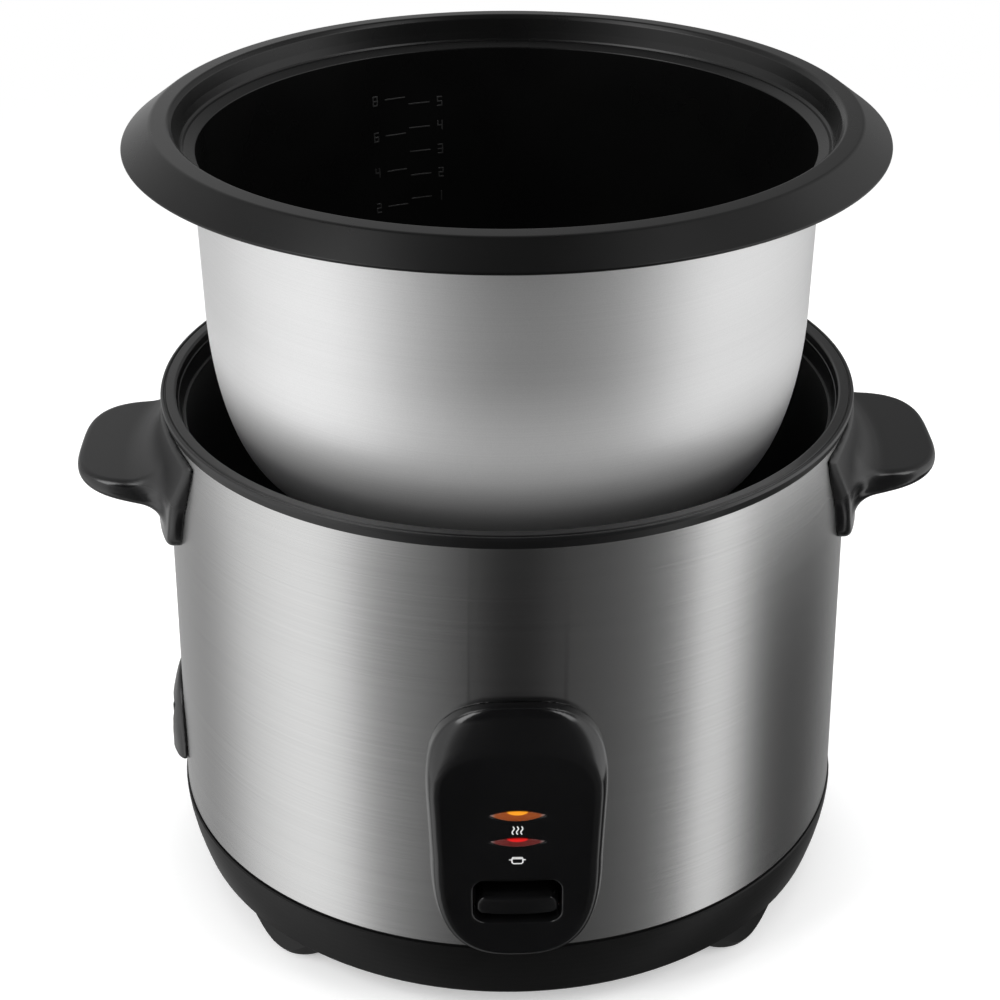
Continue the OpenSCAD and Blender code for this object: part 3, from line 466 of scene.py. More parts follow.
def oval(x, y, a, b, n):
    """About the distance from a rounded rectangle with the half sizes a and b."""
    u, v = np.abs(x) / a + 1e-9, np.abs(y) / b + 1e-9
    k = (u ** n + v ** n) ** (1 / n)
    gx, gy = (u / k) ** (n - 1) / a, (v / k) ** (n - 1) / b
    return (k - 1) / np.sqrt(gx * gx + gy * gy)


def line_distance(x, y, line):
    """The distance from a drawn line of straight strokes."""
    best = np.full(np.shape(x), 1e9)
    for (ax, ay), (bx, by) in zip(line, line[1:]):
        ex, ey = bx - ax, by - ay
        t = np.clip(((x - ax) * ex + (y - ay) * ey) / (ex * ex + ey * ey), 0, 1)
        best = np.minimum(best, np.hypot(x - ax - t * ex, y - ay - t * ey))
    return best


def strokes(lines, half, deep):
    """Drawn lines in the first two numbers, with a small depth in the third."""
    def field(x, u, w):
        nearest = np.min([line_distance(x, u, line) for line in lines], axis=0)
        return np.maximum(nearest - half, np.abs(w) - deep)

    return field


def outline_distance(x, y, points):
    """The signed distance from a closed outline of straight sides."""
    closed = points + points[:1]
    inside = np.zeros(np.shape(x), bool)
    for (ax, ay), (bx, by) in zip(closed, closed[1:]):
        crossing = (ay > y) != (by > y)
        inside ^= crossing & (x < ax + (y - ay) * (bx - ax) / ((by - ay) or 1e-9))
    return np.where(inside, -1, 1) * line_distance(x, y, closed)


def softened(points):
    """A closed outline with its corners cut off until they look round."""
    for _ in range(3):
        points = [(a[0] + (b[0] - a[0]) * t, a[1] + (b[1] - a[1]) * t)
                  for a, b in zip(points, points[1:] + points[:1]) for t in (0.25, 0.75)]
    return points


def slab(outline, depth, radius):
    """An outline's distance and a depth's joined into a plate with round edges."""
    a, b = outline + radius, depth + radius
    return np.minimum(np.maximum(a, b), 0) + np.hypot(np.maximum(a, 0), np.maximum(b, 0)) - radius


def box_field(x, y, w, h, r):
    """The distance from a rectangle with round corners."""
    return slab(np.abs(x) - w / 2, np.abs(y) - h / 2, r)


def lens_field(x, y, w, h):
    """The distance from the overlap of two circles."""
    r = (w * w / 4 + h * h / 4) / h
    return np.maximum(np.hypot(x, y - (r - h / 2)), np.hypot(x, y + (r - h / 2))) - r


class Body:
    """The sizes of the body in millimetres, with what follows from them."""

    def __init__(self, sizes):
        for key in CookerSizes.__annotations__:
            setattr(self, key, getattr(sizes, key) / MM)
        self.shell_top = self.body_h - self.ring_edge
        self.ring_r = self.shell_r + self.ring_over
        self.liner_r = self.shell_r - 7.6
        self.grip_top = self.body_h - 27
        self.ledge_drop = 11.1  # from the pot's rim down to the step in its wall
        self.pot_draft = 1.1  # how much the pot's wall narrows down to its bend
        self.bend_w, self.bend_h = 22.1, 64.6
        self.bend_r = self.pot_r - self.pot_draft - self.bend_w

    def shell_ro(self, z):
        """Outer radius of the shell at a height."""
        share = (self.shell_top - z) / (self.shell_top - self.base_h)
        return self.shell_r + self.shell_flare * share


def sizes(context):
    """The body's sizes."""
    return Body(context.scene.cooker_sizes)


def handle_field(b):
    """The right handle: a rounded grip, a shield behind it, and a fillet between them."""
    root = b.shell_r - 3.6
    reach = b.shell_r + b.handle_out - root
    # Half of the shield's outline: across, and down from the body's top.
    half_edge = [(64, -4.5), (60.5, -14), (54.5, -26), (50.5, -34), (47.5, -42), (44, -49),
                 (38, -52), (0, -52)]
    edge = half_edge + [(-y, z) for y, z in half_edge[-2::-1]]
    edge = softened([(y, z + b.body_h) for y, z in edge])

    def field(x, y, z):
        ahead = np.maximum(x - root, 0)
        t = b.grip_t + 1 - 7 * np.clip(ahead / reach, 0, 1)
        r = np.hypot(x, y) - b.shell_ro(z)
        rim = outline_distance(y, z, edge)
        grip = slab(oval(ahead, y - 1, reach, b.handle_half + 1, 3.2),
                    np.abs(z - b.grip_top + t / 2) - t / 2, np.minimum(4.2, 0.47 * t))
        half = 3.8 - 1.5 * np.clip((z - b.grip_top) / 21, 0, 1)
        shield = slab(rim, np.abs(r + 3 - half) - half, np.minimum(2.4, 0.95 * half))
        fillet = 8 + 5 * np.clip((z - b.grip_top + 6) / 7, 0, 1)
        return smooth_most(smooth_least(grip, shield, fillet), 0.08 - r, 0.3)

    return field


def pot_inside(b, level, ledge):
    """The pot's inside radius at heights over its underside, up to the ledge under its lip."""
    wall = b.pot_r - b.pot_t - b.pot_draft * (ledge - level) / (ledge - b.bend_h)
    drop = np.clip((b.bend_h - level) / (b.bend_h - b.pot_t), 0, 1)
    bend = b.bend_r + (b.bend_w - b.pot_t) * np.sqrt(1 - drop ** 2)
    return np.where(level > b.bend_h, wall, bend)


class PanelFrame:
    """The control panel's own frame: across, up its face from the top edge, and into it."""

    def __init__(self, b):
        self.b = b
        self.brow = 13  # height of the rounded brow over the flat face
        self.face_z = b.base_h - 2 + b.panel_h - self.brow
        self.face_y = -(b.shell_ro(self.face_z) + 11)
        run = -self.face_y - b.shell_ro(b.base_h) - 5.6
        self.lean = math.atan(run / (self.face_z - b.base_h))

    def world(self, across, up, depth):
        """A point of this frame as a point of the body."""
        c, s = math.cos(self.lean), math.sin(self.lean)
        return across, self.face_y + depth * c - up * s, self.face_z + up * c + depth * s

    def up(self, z):
        """A height above the seam as a distance up the face."""
        return (self.b.base_h + z - self.face_z) / math.cos(self.lean)


def panel_shape(b, f, x, u, w, inset):
    """The panel's outer form, moved inwards by inset."""
    top_h, chin_h = 34, 45  # the rounded ends; the sides between them are straight
    top_u, chin_u = f.brow - top_h, f.brow - b.panel_h + chin_h
    t = np.clip(1 - w / 9, 0, 1)
    side = 4 * (1 - np.sqrt(np.clip(1 - t * t, 0, 1))) + inset
    brow = f.brow * t ** 1.6 + inset
    top = oval(x, u - top_u, b.panel_w - side, top_h - brow, 2.75)
    chin = oval(x, u - chin_u, b.panel_w - 1 - side, chin_h - side, 2.75)
    share = np.clip((top_u - u) / (top_u - chin_u), 0, 1)
    middle = np.abs(x) - (b.panel_w - side - share)
    outline = np.where(u > top_u, top, np.where(u < chin_u, chin, middle))
    return smooth_most(outline, -w, 1.6)


def panel_field(b, f):
    """The control panel: a hollow moulding with a switch recess and two lens openings."""
    def field(x, u, w):
        y, z = f.world(x, u, w)[1:]
        r = np.hypot(x, y) - b.shell_ro(z)
        outer = panel_shape(b, f, x, u, w, 0.0)
        inner = panel_shape(b, f, x, u, w - 2.5, 2.5)
        recess = box_field(x, u - f.up(RECESS_Z), RECESS_W, RECESS_H, 5)
        solid = np.maximum(outer, -np.maximum(inner, -(recess - 1.5)))
        solid = smooth_most(solid, -recess, 0.6)
        for _, _, height, h in LENSES:
            opening = lens_field(x, u - f.up(height), LENS_W + 0.2, h + 0.2)
            solid = smooth_most(solid, -opening, 0.4)
        return np.maximum(np.maximum(solid, 0.1 - r), w - 25)

    return field


def panel_piece(f, name, field, low, high, voxel, material, **rest):
    """Moulds a piece in the panel's own frame and brings it to the body."""
    points, faces = moulding(field, low, high, voxel)
    points = np.stack(f.world(*(points.T / MM)), 1) * MM
    return piece(name, points, [face[::-1] for face in faces], [material], **rest)


# ---------------------------------------------------------------- operators

class CookerOperator(bpy.types.Operator):
    """One step in making the cooker."""
    bl_options = {"REGISTER", "UNDO"}


class COOKER_OT_shell(CookerOperator):
    """Make the brushed steel shell"""
    bl_idname = "cooker.shell"
    bl_label = "Shell"

    def execute(self, context):
        b = sizes(context)
        left, front = math.pi, 1.5 * math.pi
        holes = []
        for middle, half, low, high in ((left, 13.6, 9.7, 29.3),  # the mains inlet's
                                        (front, RECESS_W / 2, 14.5, 29),  # the switch's
                                        (front, 16, 46, 69)):  # the lamps'
            turn = math.asin(half / b.shell_r)
            holes.append((middle - turn, middle + turn, b.base_h + low, b.base_h + high))
        points, faces = holed_wall(b.shell_ro, 0.8, b.base_h, b.shell_top, holes)
        piece("shell", points, faces, [brushed_steel(context.scene.cooker_colours.steel)],
              replaces=["outer_shell"], slot="brushed_shell")
        return {"FINISHED"}


class COOKER_OT_ring(CookerOperator):
    """Make the black ring on top of the body"""
    bl_idname = "cooker.ring"
    bl_label = "Ring"

    def execute(self, context):
        b = sizes(context)
        top, out, inner = b.body_h, b.ring_r, b.liner_r
        skirt_out = b.shell_r - 0.9
        profile = rounded([
            (out - 1, b.shell_top, 0.3), (out, top - 1.2, 0.8), (out - 0.4, top, 0.5),
            (out - 1.2, top - 0.05, 0.2), (out - 1.5, top - 0.6, 0.15),
            (out - 1.8, top - 0.6, 0.15), (out - 2.2, top, 0.3), (inner + 3.2, top, 1.2),
            (inner + 0.9, top - 9, 0.2), (inner + 2.1, top - 9, 0.2), (inner + 2.1, top - 3, 0.5),
            (skirt_out - 1.2, top - 3, 0.5), (skirt_out - 1.2, top - 12, 0.2),
            (skirt_out, top - 12, 0.2), (skirt_out, b.shell_top, 0)], 0.2, 5)
        points, faces, _ = lathe(profile, 360)
        black = moulded("ring_black", context.scene.cooker_colours.black, 0.3)
        piece("ring", points, faces, [black], replaces=["top_ring"], slot="black_trim")
        return {"FINISHED"}


class COOKER_OT_handles(CookerOperator):
    """Make the two handles with their shields"""
    bl_idname = "cooker.handles"
    bl_label = "Handles"

    def execute(self, context):
        b = sizes(context)
        material = handle_plastic(context.scene.cooker_colours.black, b.grip_top * MM)
        reach = b.shell_r + b.handle_out
        points, faces = moulding(handle_field(b), (108, -66, 146), (reach + 2, 66, 201), b.voxel)
        for side, name in ((1, "handle_right"), (-1, "handle_left")):
            turned = [f[::side] for f in faces]
            piece(name + "_grip", points * (side, 1, 1), turned, [material], replaces=[name],
                  slot="black_handles")
        return {"FINISHED"}


class COOKER_OT_panel(CookerOperator):
    """Make the control panel's moulding"""
    bl_idname = "cooker.panel"
    bl_label = "Control panel"

    def execute(self, context):
        b = sizes(context)
        f = PanelFrame(b)
        gloss = moulded("panel_gloss", context.scene.cooker_colours.black, 0.12, 0.02, 300.0)
        panel_piece(f, "panel", panel_field(b, f), (-34, -95, -1.5), (34, 16, 27), b.voxel, gloss,
                    replaces=["control_panel"], slot="gloss_panel")
        return {"FINISHED"}


class COOKER_OT_inlet(CookerOperator):
    """Make the rounded surround of the mains inlet"""
    bl_idname = "cooker.inlet"
    bl_label = "Inlet surround"

    def execute(self, context):
        b = sizes(context)
        half, high, chin, middle = 28.5, 25.0, 8.0, b.base_h + 17
        hole_z = b.base_h + 19.5

        def field(x, y, z):
            r = np.hypot(x, y) - b.shell_ro(z)
            v = z - middle
            outline = np.where(v > 0, oval(y, v, half, high, 2.1), oval(y, v, half, chin, 3.5))
            inward = np.clip(-np.where(v > 0, outline, np.abs(y) - half) / (0.6 * high), 0, 1)
            body = smooth_most(outline, np.maximum(r - 0.7 - 4.5 * inward ** 0.55, 0.08 - r), 1.4)
            return np.maximum(body, -box_field(y, z - hole_z, 28.4, 20.9, 0.5))

        points, faces = moulding(field, (-b.shell_r - 9, -30, 42), (-b.shell_r + 6, 30, 79), 0.5)
        piece("inlet_surround", points, faces,
              [moulded("bezel_black", context.scene.cooker_colours.black, 0.25, 0.05, 1300.0)],
              replaces=["inlet_bezel"], slot="black_bezel")
        return {"FINISHED"}


class COOKER_OT_lenses(CookerOperator):
    """Make the two lamps' domed lenses"""
    bl_idname = "cooker.lenses"
    bl_label = "Lenses"

    def execute(self, context):
        f = PanelFrame(sizes(context))
        tint = context.scene.cooker_colours
        # Each lens's own tint, then the colour of its painted glow.
        tints_and_glows = ((tint.amber, (1.0, 0.36, 0.02)), (tint.red, (0.75, 0.012, 0.012)))
        for (name, slot, height, h), (shade, painted_glow_colour) in zip(LENSES, tints_and_glows):
            middle = f.up(height)

            def field(x, u, w):
                v = u - middle
                dome = 1.6 * (x / (LENS_W / 2)) ** 2 + 2.2 * (v / 4) ** 2 - 0.75
                body = smooth_most(lens_field(x, v, LENS_W, h), np.maximum(dome - w, w - 3), 0.3)
                rim = np.maximum(lens_field(x, v, 23.6, h + 3), np.maximum(2.55 - w, w - 3.5))
                return np.minimum(body, rim)

            clear = lens_plastic(name, shade, painted_glow_colour, f.world(0, middle, 0)[2] * MM, h * MM)
            low, high = (-13, middle - 5, -1.5), (13, middle + 5, 4.5)
            panel_piece(f, name + "_dome", field, low, high, 0.3, clear, replaces=[name], slot=slot)
        return {"FINISHED"}


class COOKER_OT_signs(CookerOperator):
    """Print a steam sign and a pot sign under the lenses"""
    bl_idname = "cooker.signs"
    bl_label = "Signs"

    def execute(self, context):
        f = PanelFrame(sizes(context))
        steps = np.linspace(-1, 1, 13)
        steam = [[(k * 1.5 + 0.35 * math.sin(t * 3.1), 1.6 * t) for t in steps] for k in (-1, 0, 1)]
        pot = [[(-1.9, 0.7), (-1.9, -0.9), (-1.4, -1.5), (1.4, -1.5), (1.9, -0.9), (1.9, 0.7),
                (-1.9, 0.7)],
               [(-2.7, 0.2), (-1.9, 0.2)], [(1.9, 0.2), (2.7, 0.2)], [(-1.7, 1.25), (1.7, 1.25)]]
        white = matte("white_print", (0.80, 0.80, 0.80), 0.45)
        for name, height, lines in (("sign_warm", 57.8, steam), ("sign_cook", 44.6, pot)):
            middle = f.up(height)
            field = strokes([[(x, u + middle) for x, u in line] for line in lines], 0.24, 0.06)
            low, high = (-3.2, middle - 2.2, -0.4), (3.2, middle + 2.2, 0.4)
            panel_piece(f, name, field, low, high, 0.1, white)
        return {"FINISHED"}


class COOKER_OT_paddle(CookerOperator):
    """Make the switch's paddle with rounded edges"""
    bl_idname = "cooker.paddle"
    bl_label = "Paddle"

    def execute(self, context):
        (low, high), (arm, _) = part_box("switch_paddle"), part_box("lever_arm")
        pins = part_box("lever_pin")
        front, back, tongue = low.y / MM, high.y / MM, arm.y / MM
        block_z = (pins[0].z + pins[1].z) / 2 / MM + 3.4
        wide, tall = 29.3, 7.9
        mid_z = sizes(context).base_h + 18.8 + tall / 2

        def field(x, y, z):
            face = smooth_most(box_field(x, z - mid_z, wide, tall, 3.4),
                               mid_z - 3.9 - z + (x / 16) ** 4 * 1.6, 1)
            nose = smooth_most(face, front + 0.9 * (x / (wide / 2)) ** 2 - y, 1.8)
            bar = np.maximum(nose, y - tongue - 4)
            block = np.maximum(box_field(x, z - block_z, 24, 5.6, 0.3),
                               np.maximum(tongue + 3 - y, y - back))
            pocket = np.maximum(box_field(x, z - block_z, 16.1, 2.1, 0.1), tongue - 0.05 - y)
            return np.maximum(smooth_least(bar, block, 0.6), -pocket)

        low, high = (-15.5, front - 1, mid_z - 7), (15.5, back + 1, mid_z + 7)
        points, faces = moulding(field, low, high, 0.4)
        piece("paddle", points, faces,
              [moulded("paddle_black", context.scene.cooker_colours.black, 0.16, 0.02, 500.0)],
              body="lever", replaces=["switch_paddle"], slot="gloss_paddle")
        return {"FINISHED"}


class COOKER_OT_pot(CookerOperator):
    """Make the lift-out pot, coated black inside and bare outside"""
    bl_idname = "cooker.pot"
    bl_label = "Pot"

    def execute(self, context):
        b = sizes(context)
        tint = context.scene.cooker_colours
        low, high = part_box("inner_pot")
        z0, pot_h = low.z / MM, (high.z - low.z) / MM
        ledge, skirt = pot_h - b.ledge_drop, pot_h - 8
        lip_in, lip_out = b.pot_r - b.pot_t + 8, b.skirt_r - 10.3

        def bend(t):
            wide, tall = b.bend_w - t, b.bend_h - t
            return [(b.bend_r + wide * math.sin(a), b.bend_h - tall * math.cos(a), 0)
                    for a in np.linspace(0, math.pi / 2, 28)]

        outer = [(0, 0, 0)] + bend(0) + [
            (b.pot_r, ledge - 2.1), (b.pot_r + 1.1, ledge - 1.5), (b.pot_r + 4.5, ledge - 0.1),
            (lip_in - 1.1, ledge + 0.9), (lip_in + 0.1, ledge + 5), (lip_in + 1.5, pot_h - 1.8),
            (lip_out - 1, pot_h - 1.6), (b.skirt_r - 1, skirt - 1.1), (b.skirt_r - 0.5, skirt - 1),
            (b.skirt_r, skirt - 0.5)]
        inner = [
            (b.skirt_r - 0.2, skirt, 0.5), (lip_out - 0.2, pot_h - 0.25, 2.5),
            (lip_in + 1.2, pot_h, 1.5), (lip_in - 0.3, pot_h - 1.5, 1), (lip_in - 1.5, ledge + 5),
            (lip_in - 2.4, ledge + 2.2), (lip_in - 3.1, ledge + 1.4), (lip_in - 4.2, ledge + 1.5),
            (b.pot_r - b.pot_t, ledge)]
        inner += bend(b.pot_t)[::-1] + [(0, b.pot_t, 0)]
        profile = rounded(outer + inner, 0.6, 4)
        points, faces, rows = lathe(profile)
        coated = len(outer) - 3  # the coating starts at the skirt's lower edge
        marks = [1 if profile[row][2] >= coated else 0 for row in rows]
        points = np.array(points) + (0, 0, z0 * MM)
        piece("pot", points, faces,
              [spun_aluminium(tint.aluminium, (z0 + 18) * MM, (z0 + 82) * MM),
               moulded("pot_coating", tint.coating, 0.28, 0.05, 2600.0, specular=0.32)],
              marks, body="pot", replaces=["inner_pot"], slot="pot_aluminium")
        return {"FINISHED"}


class COOKER_OT_levels(CookerOperator):
    """Make the faint level lines with their numbers inside the pot"""
    bl_idname = "cooker.levels"
    bl_label = "Level lines"

    def execute(self, context):
        b = sizes(context)
        low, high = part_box("inner_pot")
        digits = {"1": [[(0, -1), (0, 1)]],
                  "2": [[(-1, 1), (1, 1), (1, 0), (-1, 0), (-1, -1), (1, -1)]],
                  "3": [[(-1, 1), (1, 1), (1, -1), (-1, -1)], [(-1, 0), (1, 0)]],
                  "4": [[(-1, 1), (-1, 0), (1, 0)], [(1, 1), (1, -1)]],
                  "5": [[(1, 1), (-1, 1), (-1, 0), (1, 0), (1, -1), (-1, -1)]],
                  "6": [[(1, 1), (-1, 1), (-1, -1), (1, -1), (1, 0), (-1, 0)]],
                  "8": [[(-1, -1), (-1, 1), (1, 1), (1, -1), (-1, -1)], [(-1, 0), (1, 0)]]}
        lines = []
        for side, top, spacing, marks in ((-1, 102, 15, "8642"), (1, 99, 10, "54321")):
            for k, mark in enumerate(marks):
                level = top - spacing * k
                lines.append([(side, level), (side * 9.5, level)])
                lines += [[(side * 14 + 0.9 * x, level + 1.8 * z) for x, z in line]
                          for line in digits[mark]]
        points, faces = moulding(strokes(lines, 0.3, 0.25), (-16, 54, -0.6), (16, 105, 0.6), 0.2)
        across, level, deep = points.T / MM
        out = pot_inside(b, level, (high.z - low.z) / MM - b.ledge_drop) + deep
        angle = math.radians(110) - across / b.pot_r
        points = np.stack([out * np.cos(angle), out * np.sin(angle), level + low.z / MM], 1) * MM
        grey = matte("line_grey", (0.02, 0.02, 0.02), 0.5)
        piece("level_lines", points, faces, [grey], body="pot")
        return {"FINISHED"}


class COOKER_OT_spring(CookerOperator):
    """Make the sensor's spring as a fixed coil the size of its solid; the real spring shortens as
    the sensor is pressed
    """
    bl_idname = "cooker.spring"
    bl_label = "Sensor spring"

    def execute(self, context):
        low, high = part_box("sensor_spring")
        wire, turns, sides = 0.8 * MM, 6, 12
        ring = (high.x - low.x) / 2 - wire
        rows = 32 * turns
        points, faces = [], []
        for i in range(rows + 1):
            a = 2 * math.pi * turns * i / rows
            z = low.z + wire + (high.z - low.z - 2 * wire) * i / rows
            for k in range(sides):
                t = 2 * math.pi * k / sides
                r = ring + wire * math.cos(t)
                points.append((r * math.cos(a), r * math.sin(a), z + wire * math.sin(t)))
        for i in range(rows):
            for k in range(sides):
                p, q = i * sides + k, i * sides + (k + 1) % sides
                faces.append((p, p + sides, q + sides, q))
        faces += [tuple(range(sides)), tuple(rows * sides + k for k in range(sides))[::-1]]
        spring = piece("spring", points, faces, [metal("spring_steel", (0.60, 0.60, 0.60), 0.3)],
                       body=None, replaces=["sensor_spring"], slot="screw_steel")
        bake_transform(spring)
        return {"FINISHED"}


class COOKER_OT_inside(CookerOperator):
    """Give the remaining solids their finishes"""
    bl_idname = "cooker.inside"
    bl_label = "Remaining finishes"

    def execute(self, context):
        tint = context.scene.cooker_colours
        finishes = {
            moulded("base_satin", tint.satin, 0.38, 0.08, 1300.0, specular=0.13): "base",
            moulded("liner_dark", (0.02, 0.02, 0.02), 0.5): "inner_liner",
            matte("rubber", tint.rubber, 0.75): "foot_pads",
            metal("zinc_steel", (0.55, 0.55, 0.54), 0.4):
                "bottom_plate fuse_clip sensor_guide lever_bracket lever_arm rod_clip magnet_rod "
                "plate_spacers",
            metal("screw_steel", (0.62, 0.62, 0.62), 0.3):
                "plate_screws post_screws handle_screws panel_screws plate_bolts bracket_rivets "
                "lever_pin",
            metal("cast_aluminium", (0.72, 0.72, 0.71), 0.42, 500.0): "heating_plate sensor_cap",
            metal("element_steel", (0.30, 0.27, 0.25), 0.5): "heating_element",
            metal("inlet_brass", (0.62, 0.47, 0.22), 0.3): "inlet_pins",
            matte("white_ceramic", (0.75, 0.73, 0.68), 0.4): "terminal_bushes",
            matte("mica_band", (0.52, 0.43, 0.25), 0.6): "keep_warm_band",
            matte("fuse_sleeve", (0.78, 0.76, 0.70), 0.6): "thermal_fuse",
            matte("ferrite", (0.05, 0.05, 0.055), 0.5): "ferrite_disc magnet",
            matte("pale_plastic", (0.68, 0.66, 0.60), 0.5): "lamp_holder",
            matte("dark_plastic", (0.02, 0.02, 0.022), 0.45): "inlet_socket micro_switch",
            matte("red_plastic", (0.60, 0.03, 0.02), 0.4): "switch_plunger",
            matte("amber_lamp", tint.amber, 0.2): "warm_lamp",
            matte("red_lamp", tint.red, 0.2): "cook_lamp",
            matte("wire_red", (0.45, 0.03, 0.02), 0.5): "wire_live wire_heater",
            matte("wire_blue", (0.03, 0.10, 0.40), 0.5): "wire_neutral",
            matte("wire_white", (0.70, 0.70, 0.68), 0.5): "wire_lamps",
        }
        for material, names in finishes.items():
            for name in names.split():
                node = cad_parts[name]
                node.data.materials.clear()
                node.data.materials.append(material)
        return {"FINISHED"}


# What shiny faces see round the cooker: pairs of an angle in degrees, from the front towards the
# right, and a brightness. LOW is seen looking steeply down and WALLS round the middle: white walls,
# with a dark card in front and a second one low down on the right. BOXES, high up, holds two soft
# boxes. The very top and the floor straight below are darker still.
LOW = ((-180, 0.55), (-141, 0.45), (-126, 0.35), (-113, 0.5), (-100, 0.9), (-85, 1.2),
       (-70, 1.36), (-57, 1.2), (-50, 0.5), (-42, 0.32), (-33, 0.23), (-20, 0.15), (-8, 0.01),
       (8, 0.01), (16, 0.09), (35, 0.11), (50, 0.17), (60, 0.28), (66, 1.36), (77, 1.25),
       (86, 0.4), (94, 0.06), (107, 0.05), (125, 0.1), (145, 0.3), (180, 0.55))
WALLS = ((-180, 0.45), (-165, 0.62), (-141, 0.5), (-126, 0.5), (-113, 0.8), (-100, 1.1), (-62, 1.3),
         (-54, 1.2), (-45, 0.75), (-35, 0.4), (-20, 0.12), (0, 0.02), (16, 0.05), (35, 0.10),
         (50, 0.25), (58, 0.45), (65, 1.1), (73, 1.6), (100, 1.4), (113, 1.0), (126, 0.8),
         (141, 0.45), (163, 0.2), (180, 0.45))
BOXES = ((-180, 0.3), (-120, 0.4), (-96, 0.6), (-84, 5.0), (-58, 5.0), (-50, 0.2), (-25, 0.0),
         (25, 0.0), (50, 0.1), (56, 3.5), (74, 3.5), (86, 0.5), (120, 0.4), (180, 0.3))
FILL = 0.45  # how brightly the walls light the rest
WHITE = (1, 1, 1)


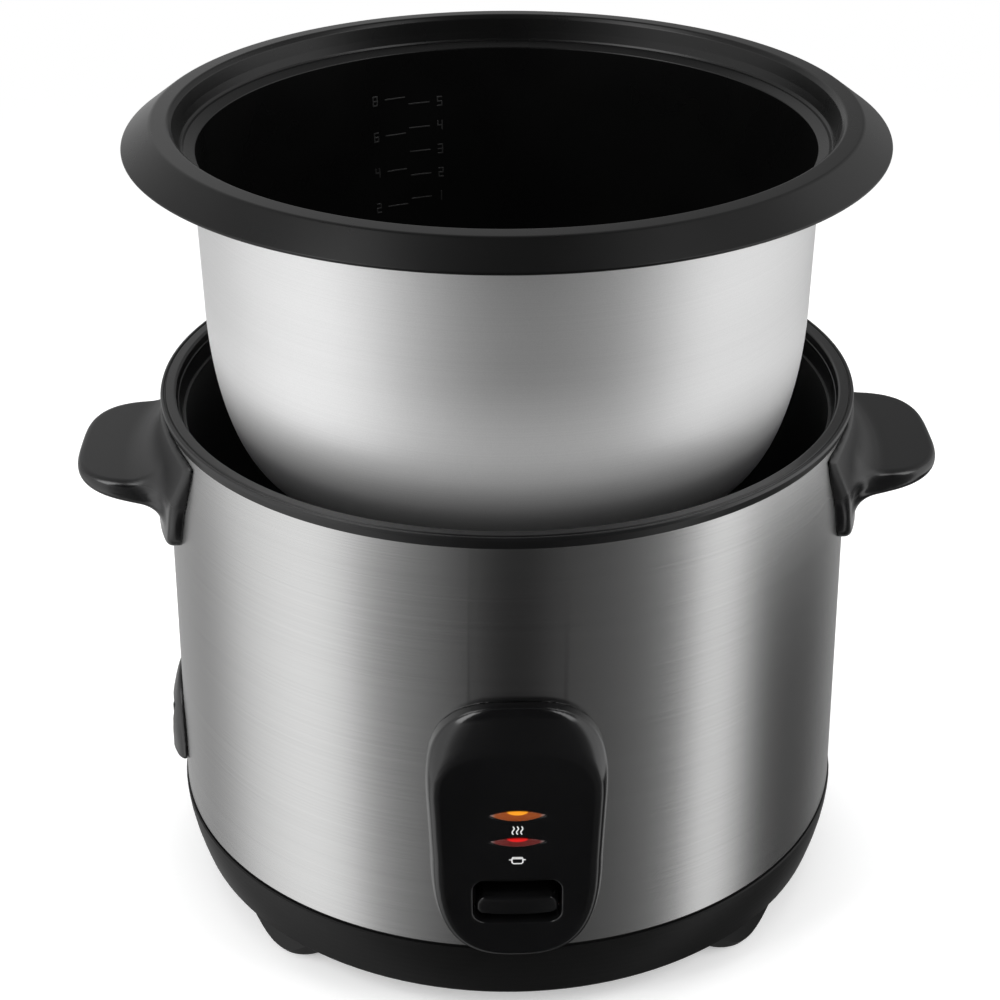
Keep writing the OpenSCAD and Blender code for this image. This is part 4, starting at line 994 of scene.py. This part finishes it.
class COOKER_OT_stage(CookerOperator):
    """Set the camera, the floor, the lamps and the world"""
    bl_idname = "cooker.stage"
    bl_label = "Stage"

    def execute(self, context):
        scene = context.scene
        eye = Vector((-0.0184, -0.7530, 0.5500))
        heading, pitch, roll = math.radians(1.19), math.radians(28.09), math.radians(-0.2)
        ahead = Vector((math.sin(heading) * math.cos(pitch), math.cos(heading) * math.cos(pitch),
                        -math.sin(pitch)))
        side = ahead.cross(Vector((0, 0, 1))).normalized()
        up = side.cross(ahead)
        right = side * math.cos(roll) + up * math.sin(roll)
        top = up * math.cos(roll) - side * math.sin(roll)
        camera = bpy.data.objects.new("camera", bpy.data.cameras.new("camera"))
        camera.data.sensor_width, camera.data.lens = 36.0, 78.84
        camera.matrix_world = Matrix((right, top, -ahead)).transposed().to_4x4()
        camera.location = eye
        scene.collection.objects.link(camera)
        scene.camera = camera
        scene.view_settings.view_transform = "Standard"

        floor_data = bpy.data.meshes.new("floor")
        ring = [(4 * math.cos(a), 4 * math.sin(a), -0.0002)
                for a in np.linspace(0, 2 * math.pi, 96, endpoint=False)]
        floor_data.from_pydata(ring, [], [list(range(96))])
        floor = bpy.data.objects.new("floor", floor_data)
        scene.collection.objects.link(floor)
        nodes = Nodes("floor_white")
        seen = nodes.add("ShaderNodeLightPath", out="Is Camera Ray")
        glow = nodes.add("ShaderNodeEmission", None, {"Color": WHITE, "Strength": seen * 0.35})
        lit = nodes.add("ShaderNodeBsdfDiffuse", None, {"Color": scene.cooker_colours.floor})
        near = nodes.add("ShaderNodeAddShader", None, {0: lit, 1: glow})
        far = nodes.add("ShaderNodeEmission", None, {"Color": WHITE, "Strength": 1.0})
        x, y, _ = parts(nodes, place(nodes))
        fade = from_axis(x, y).step(0.35, 1.1)
        both = nodes.add("ShaderNodeMixShader", None, {0: fade * seen, 1: near, 2: far})
        nodes.add("ShaderNodeOutputMaterial", None, {"Surface": both})
        floor_data.materials.append(nodes.material)
        floor.visible_glossy = False

        world = bpy.data.worlds.new("studio")
        scene.world = world
        nodes = Nodes(world)
        seen, glossy, through = [nodes.add("ShaderNodeLightPath", out="Is %s Ray" % kind)
                                 for kind in ("Camera", "Glossy", "Transmission")]
        x, y, z = parts(nodes, nodes.add("ShaderNodeTexCoord", out="Generated"))
        around = x.angle(-1 * y)
        low, walls, boxes = [
            nodes.add("ShaderNodeValToRGB", {"stops": [(a / 360 + 0.5, v) for a, v in cards]},
                      {0: around / (2 * math.pi) + 0.5}) for cards in (LOW, WALLS, BOXES)]
        upper = mix(z.step(0.58, 0.68), mix(z.step(-0.47, -0.41), low, walls), boxes)
        room = upper * ((1 - z.step(0.88, 0.95) * 0.95) * (0.35 + 0.65 * z.step(-0.92, -0.6)))
        white = seen.most(through)
        strength = white.most(glossy * room).most((1 - white.most(glossy)) * FILL)
        background = nodes.add("ShaderNodeBackground", None, {"Color": WHITE, "Strength": strength})
        nodes.add("ShaderNodeOutputWorld", None, {"Surface": background})

        aim = Vector((0, 0, 0.15))
        lamps = (("key", (-0.9, -0.55, 0.75), 0.5, 1.0, 9.0),  # name, place, sides and watts
                 ("fill", (1.0, -0.5, 0.7), 0.5, 1.0, 8.0),
                 ("top", (0.0, 0.3, 1.4), 1.2, 0.8, 10.0))
        for name, where, wide, high, power in lamps:
            lamp = bpy.data.objects.new(name, bpy.data.lights.new(name, "AREA"))
            lamp.data.shape, lamp.data.size, lamp.data.size_y = "RECTANGLE", wide, high
            lamp.data.energy = power
            lamp.location = where
            lamp.rotation_mode = "QUATERNION"
            lamp.rotation_quaternion = (aim - Vector(where)).to_track_quat("-Z", "Y")
            lamp.visible_camera = False
            lamp.visible_glossy = False
            scene.collection.objects.link(lamp)
        return {"FINISHED"}


STEPS = (COOKER_OT_shell, COOKER_OT_ring, COOKER_OT_handles, COOKER_OT_panel, COOKER_OT_inlet,
         COOKER_OT_lenses, COOKER_OT_signs, COOKER_OT_paddle, COOKER_OT_pot, COOKER_OT_levels,
         COOKER_OT_spring, COOKER_OT_inside, COOKER_OT_stage)


class COOKER_PT_panel(bpy.types.Panel):
    """Sizes, colours and steps of the cooker"""
    bl_idname = "COOKER_PT_panel"
    bl_label = "Rice cooker"
    bl_space_type = "VIEW_3D"
    bl_region_type = "UI"
    bl_category = "Cooker"

    def draw(self, context):
        layout = self.layout
        for group in (context.scene.cooker_sizes, context.scene.cooker_colours):
            box = layout.box()
            for key in group.__annotations__:
                box.prop(group, key)
        for step in STEPS:
            layout.operator(step.bl_idname)


CLASSES = (CookerSizes, CookerColours) + STEPS + (COOKER_PT_panel,)


def register():
    """Registers the classes and the two property groups."""
    for cls in CLASSES:
        bpy.utils.register_class(cls)
    bpy.types.Scene.cooker_sizes = bpy.props.PointerProperty(type=CookerSizes)
    bpy.types.Scene.cooker_colours = bpy.props.PointerProperty(type=CookerColours)


def unregister():
    """Takes away what register added."""
    del bpy.types.Scene.cooker_colours, bpy.types.Scene.cooker_sizes
    for cls in reversed(CLASSES):
        bpy.utils.unregister_class(cls)


def main():
    """Makes the whole cooker."""
    register()
    for step in STEPS:
        group, name = step.bl_idname.split(".")
        getattr(getattr(bpy.ops, group), name)()


if __name__ == "__main__":
    main()
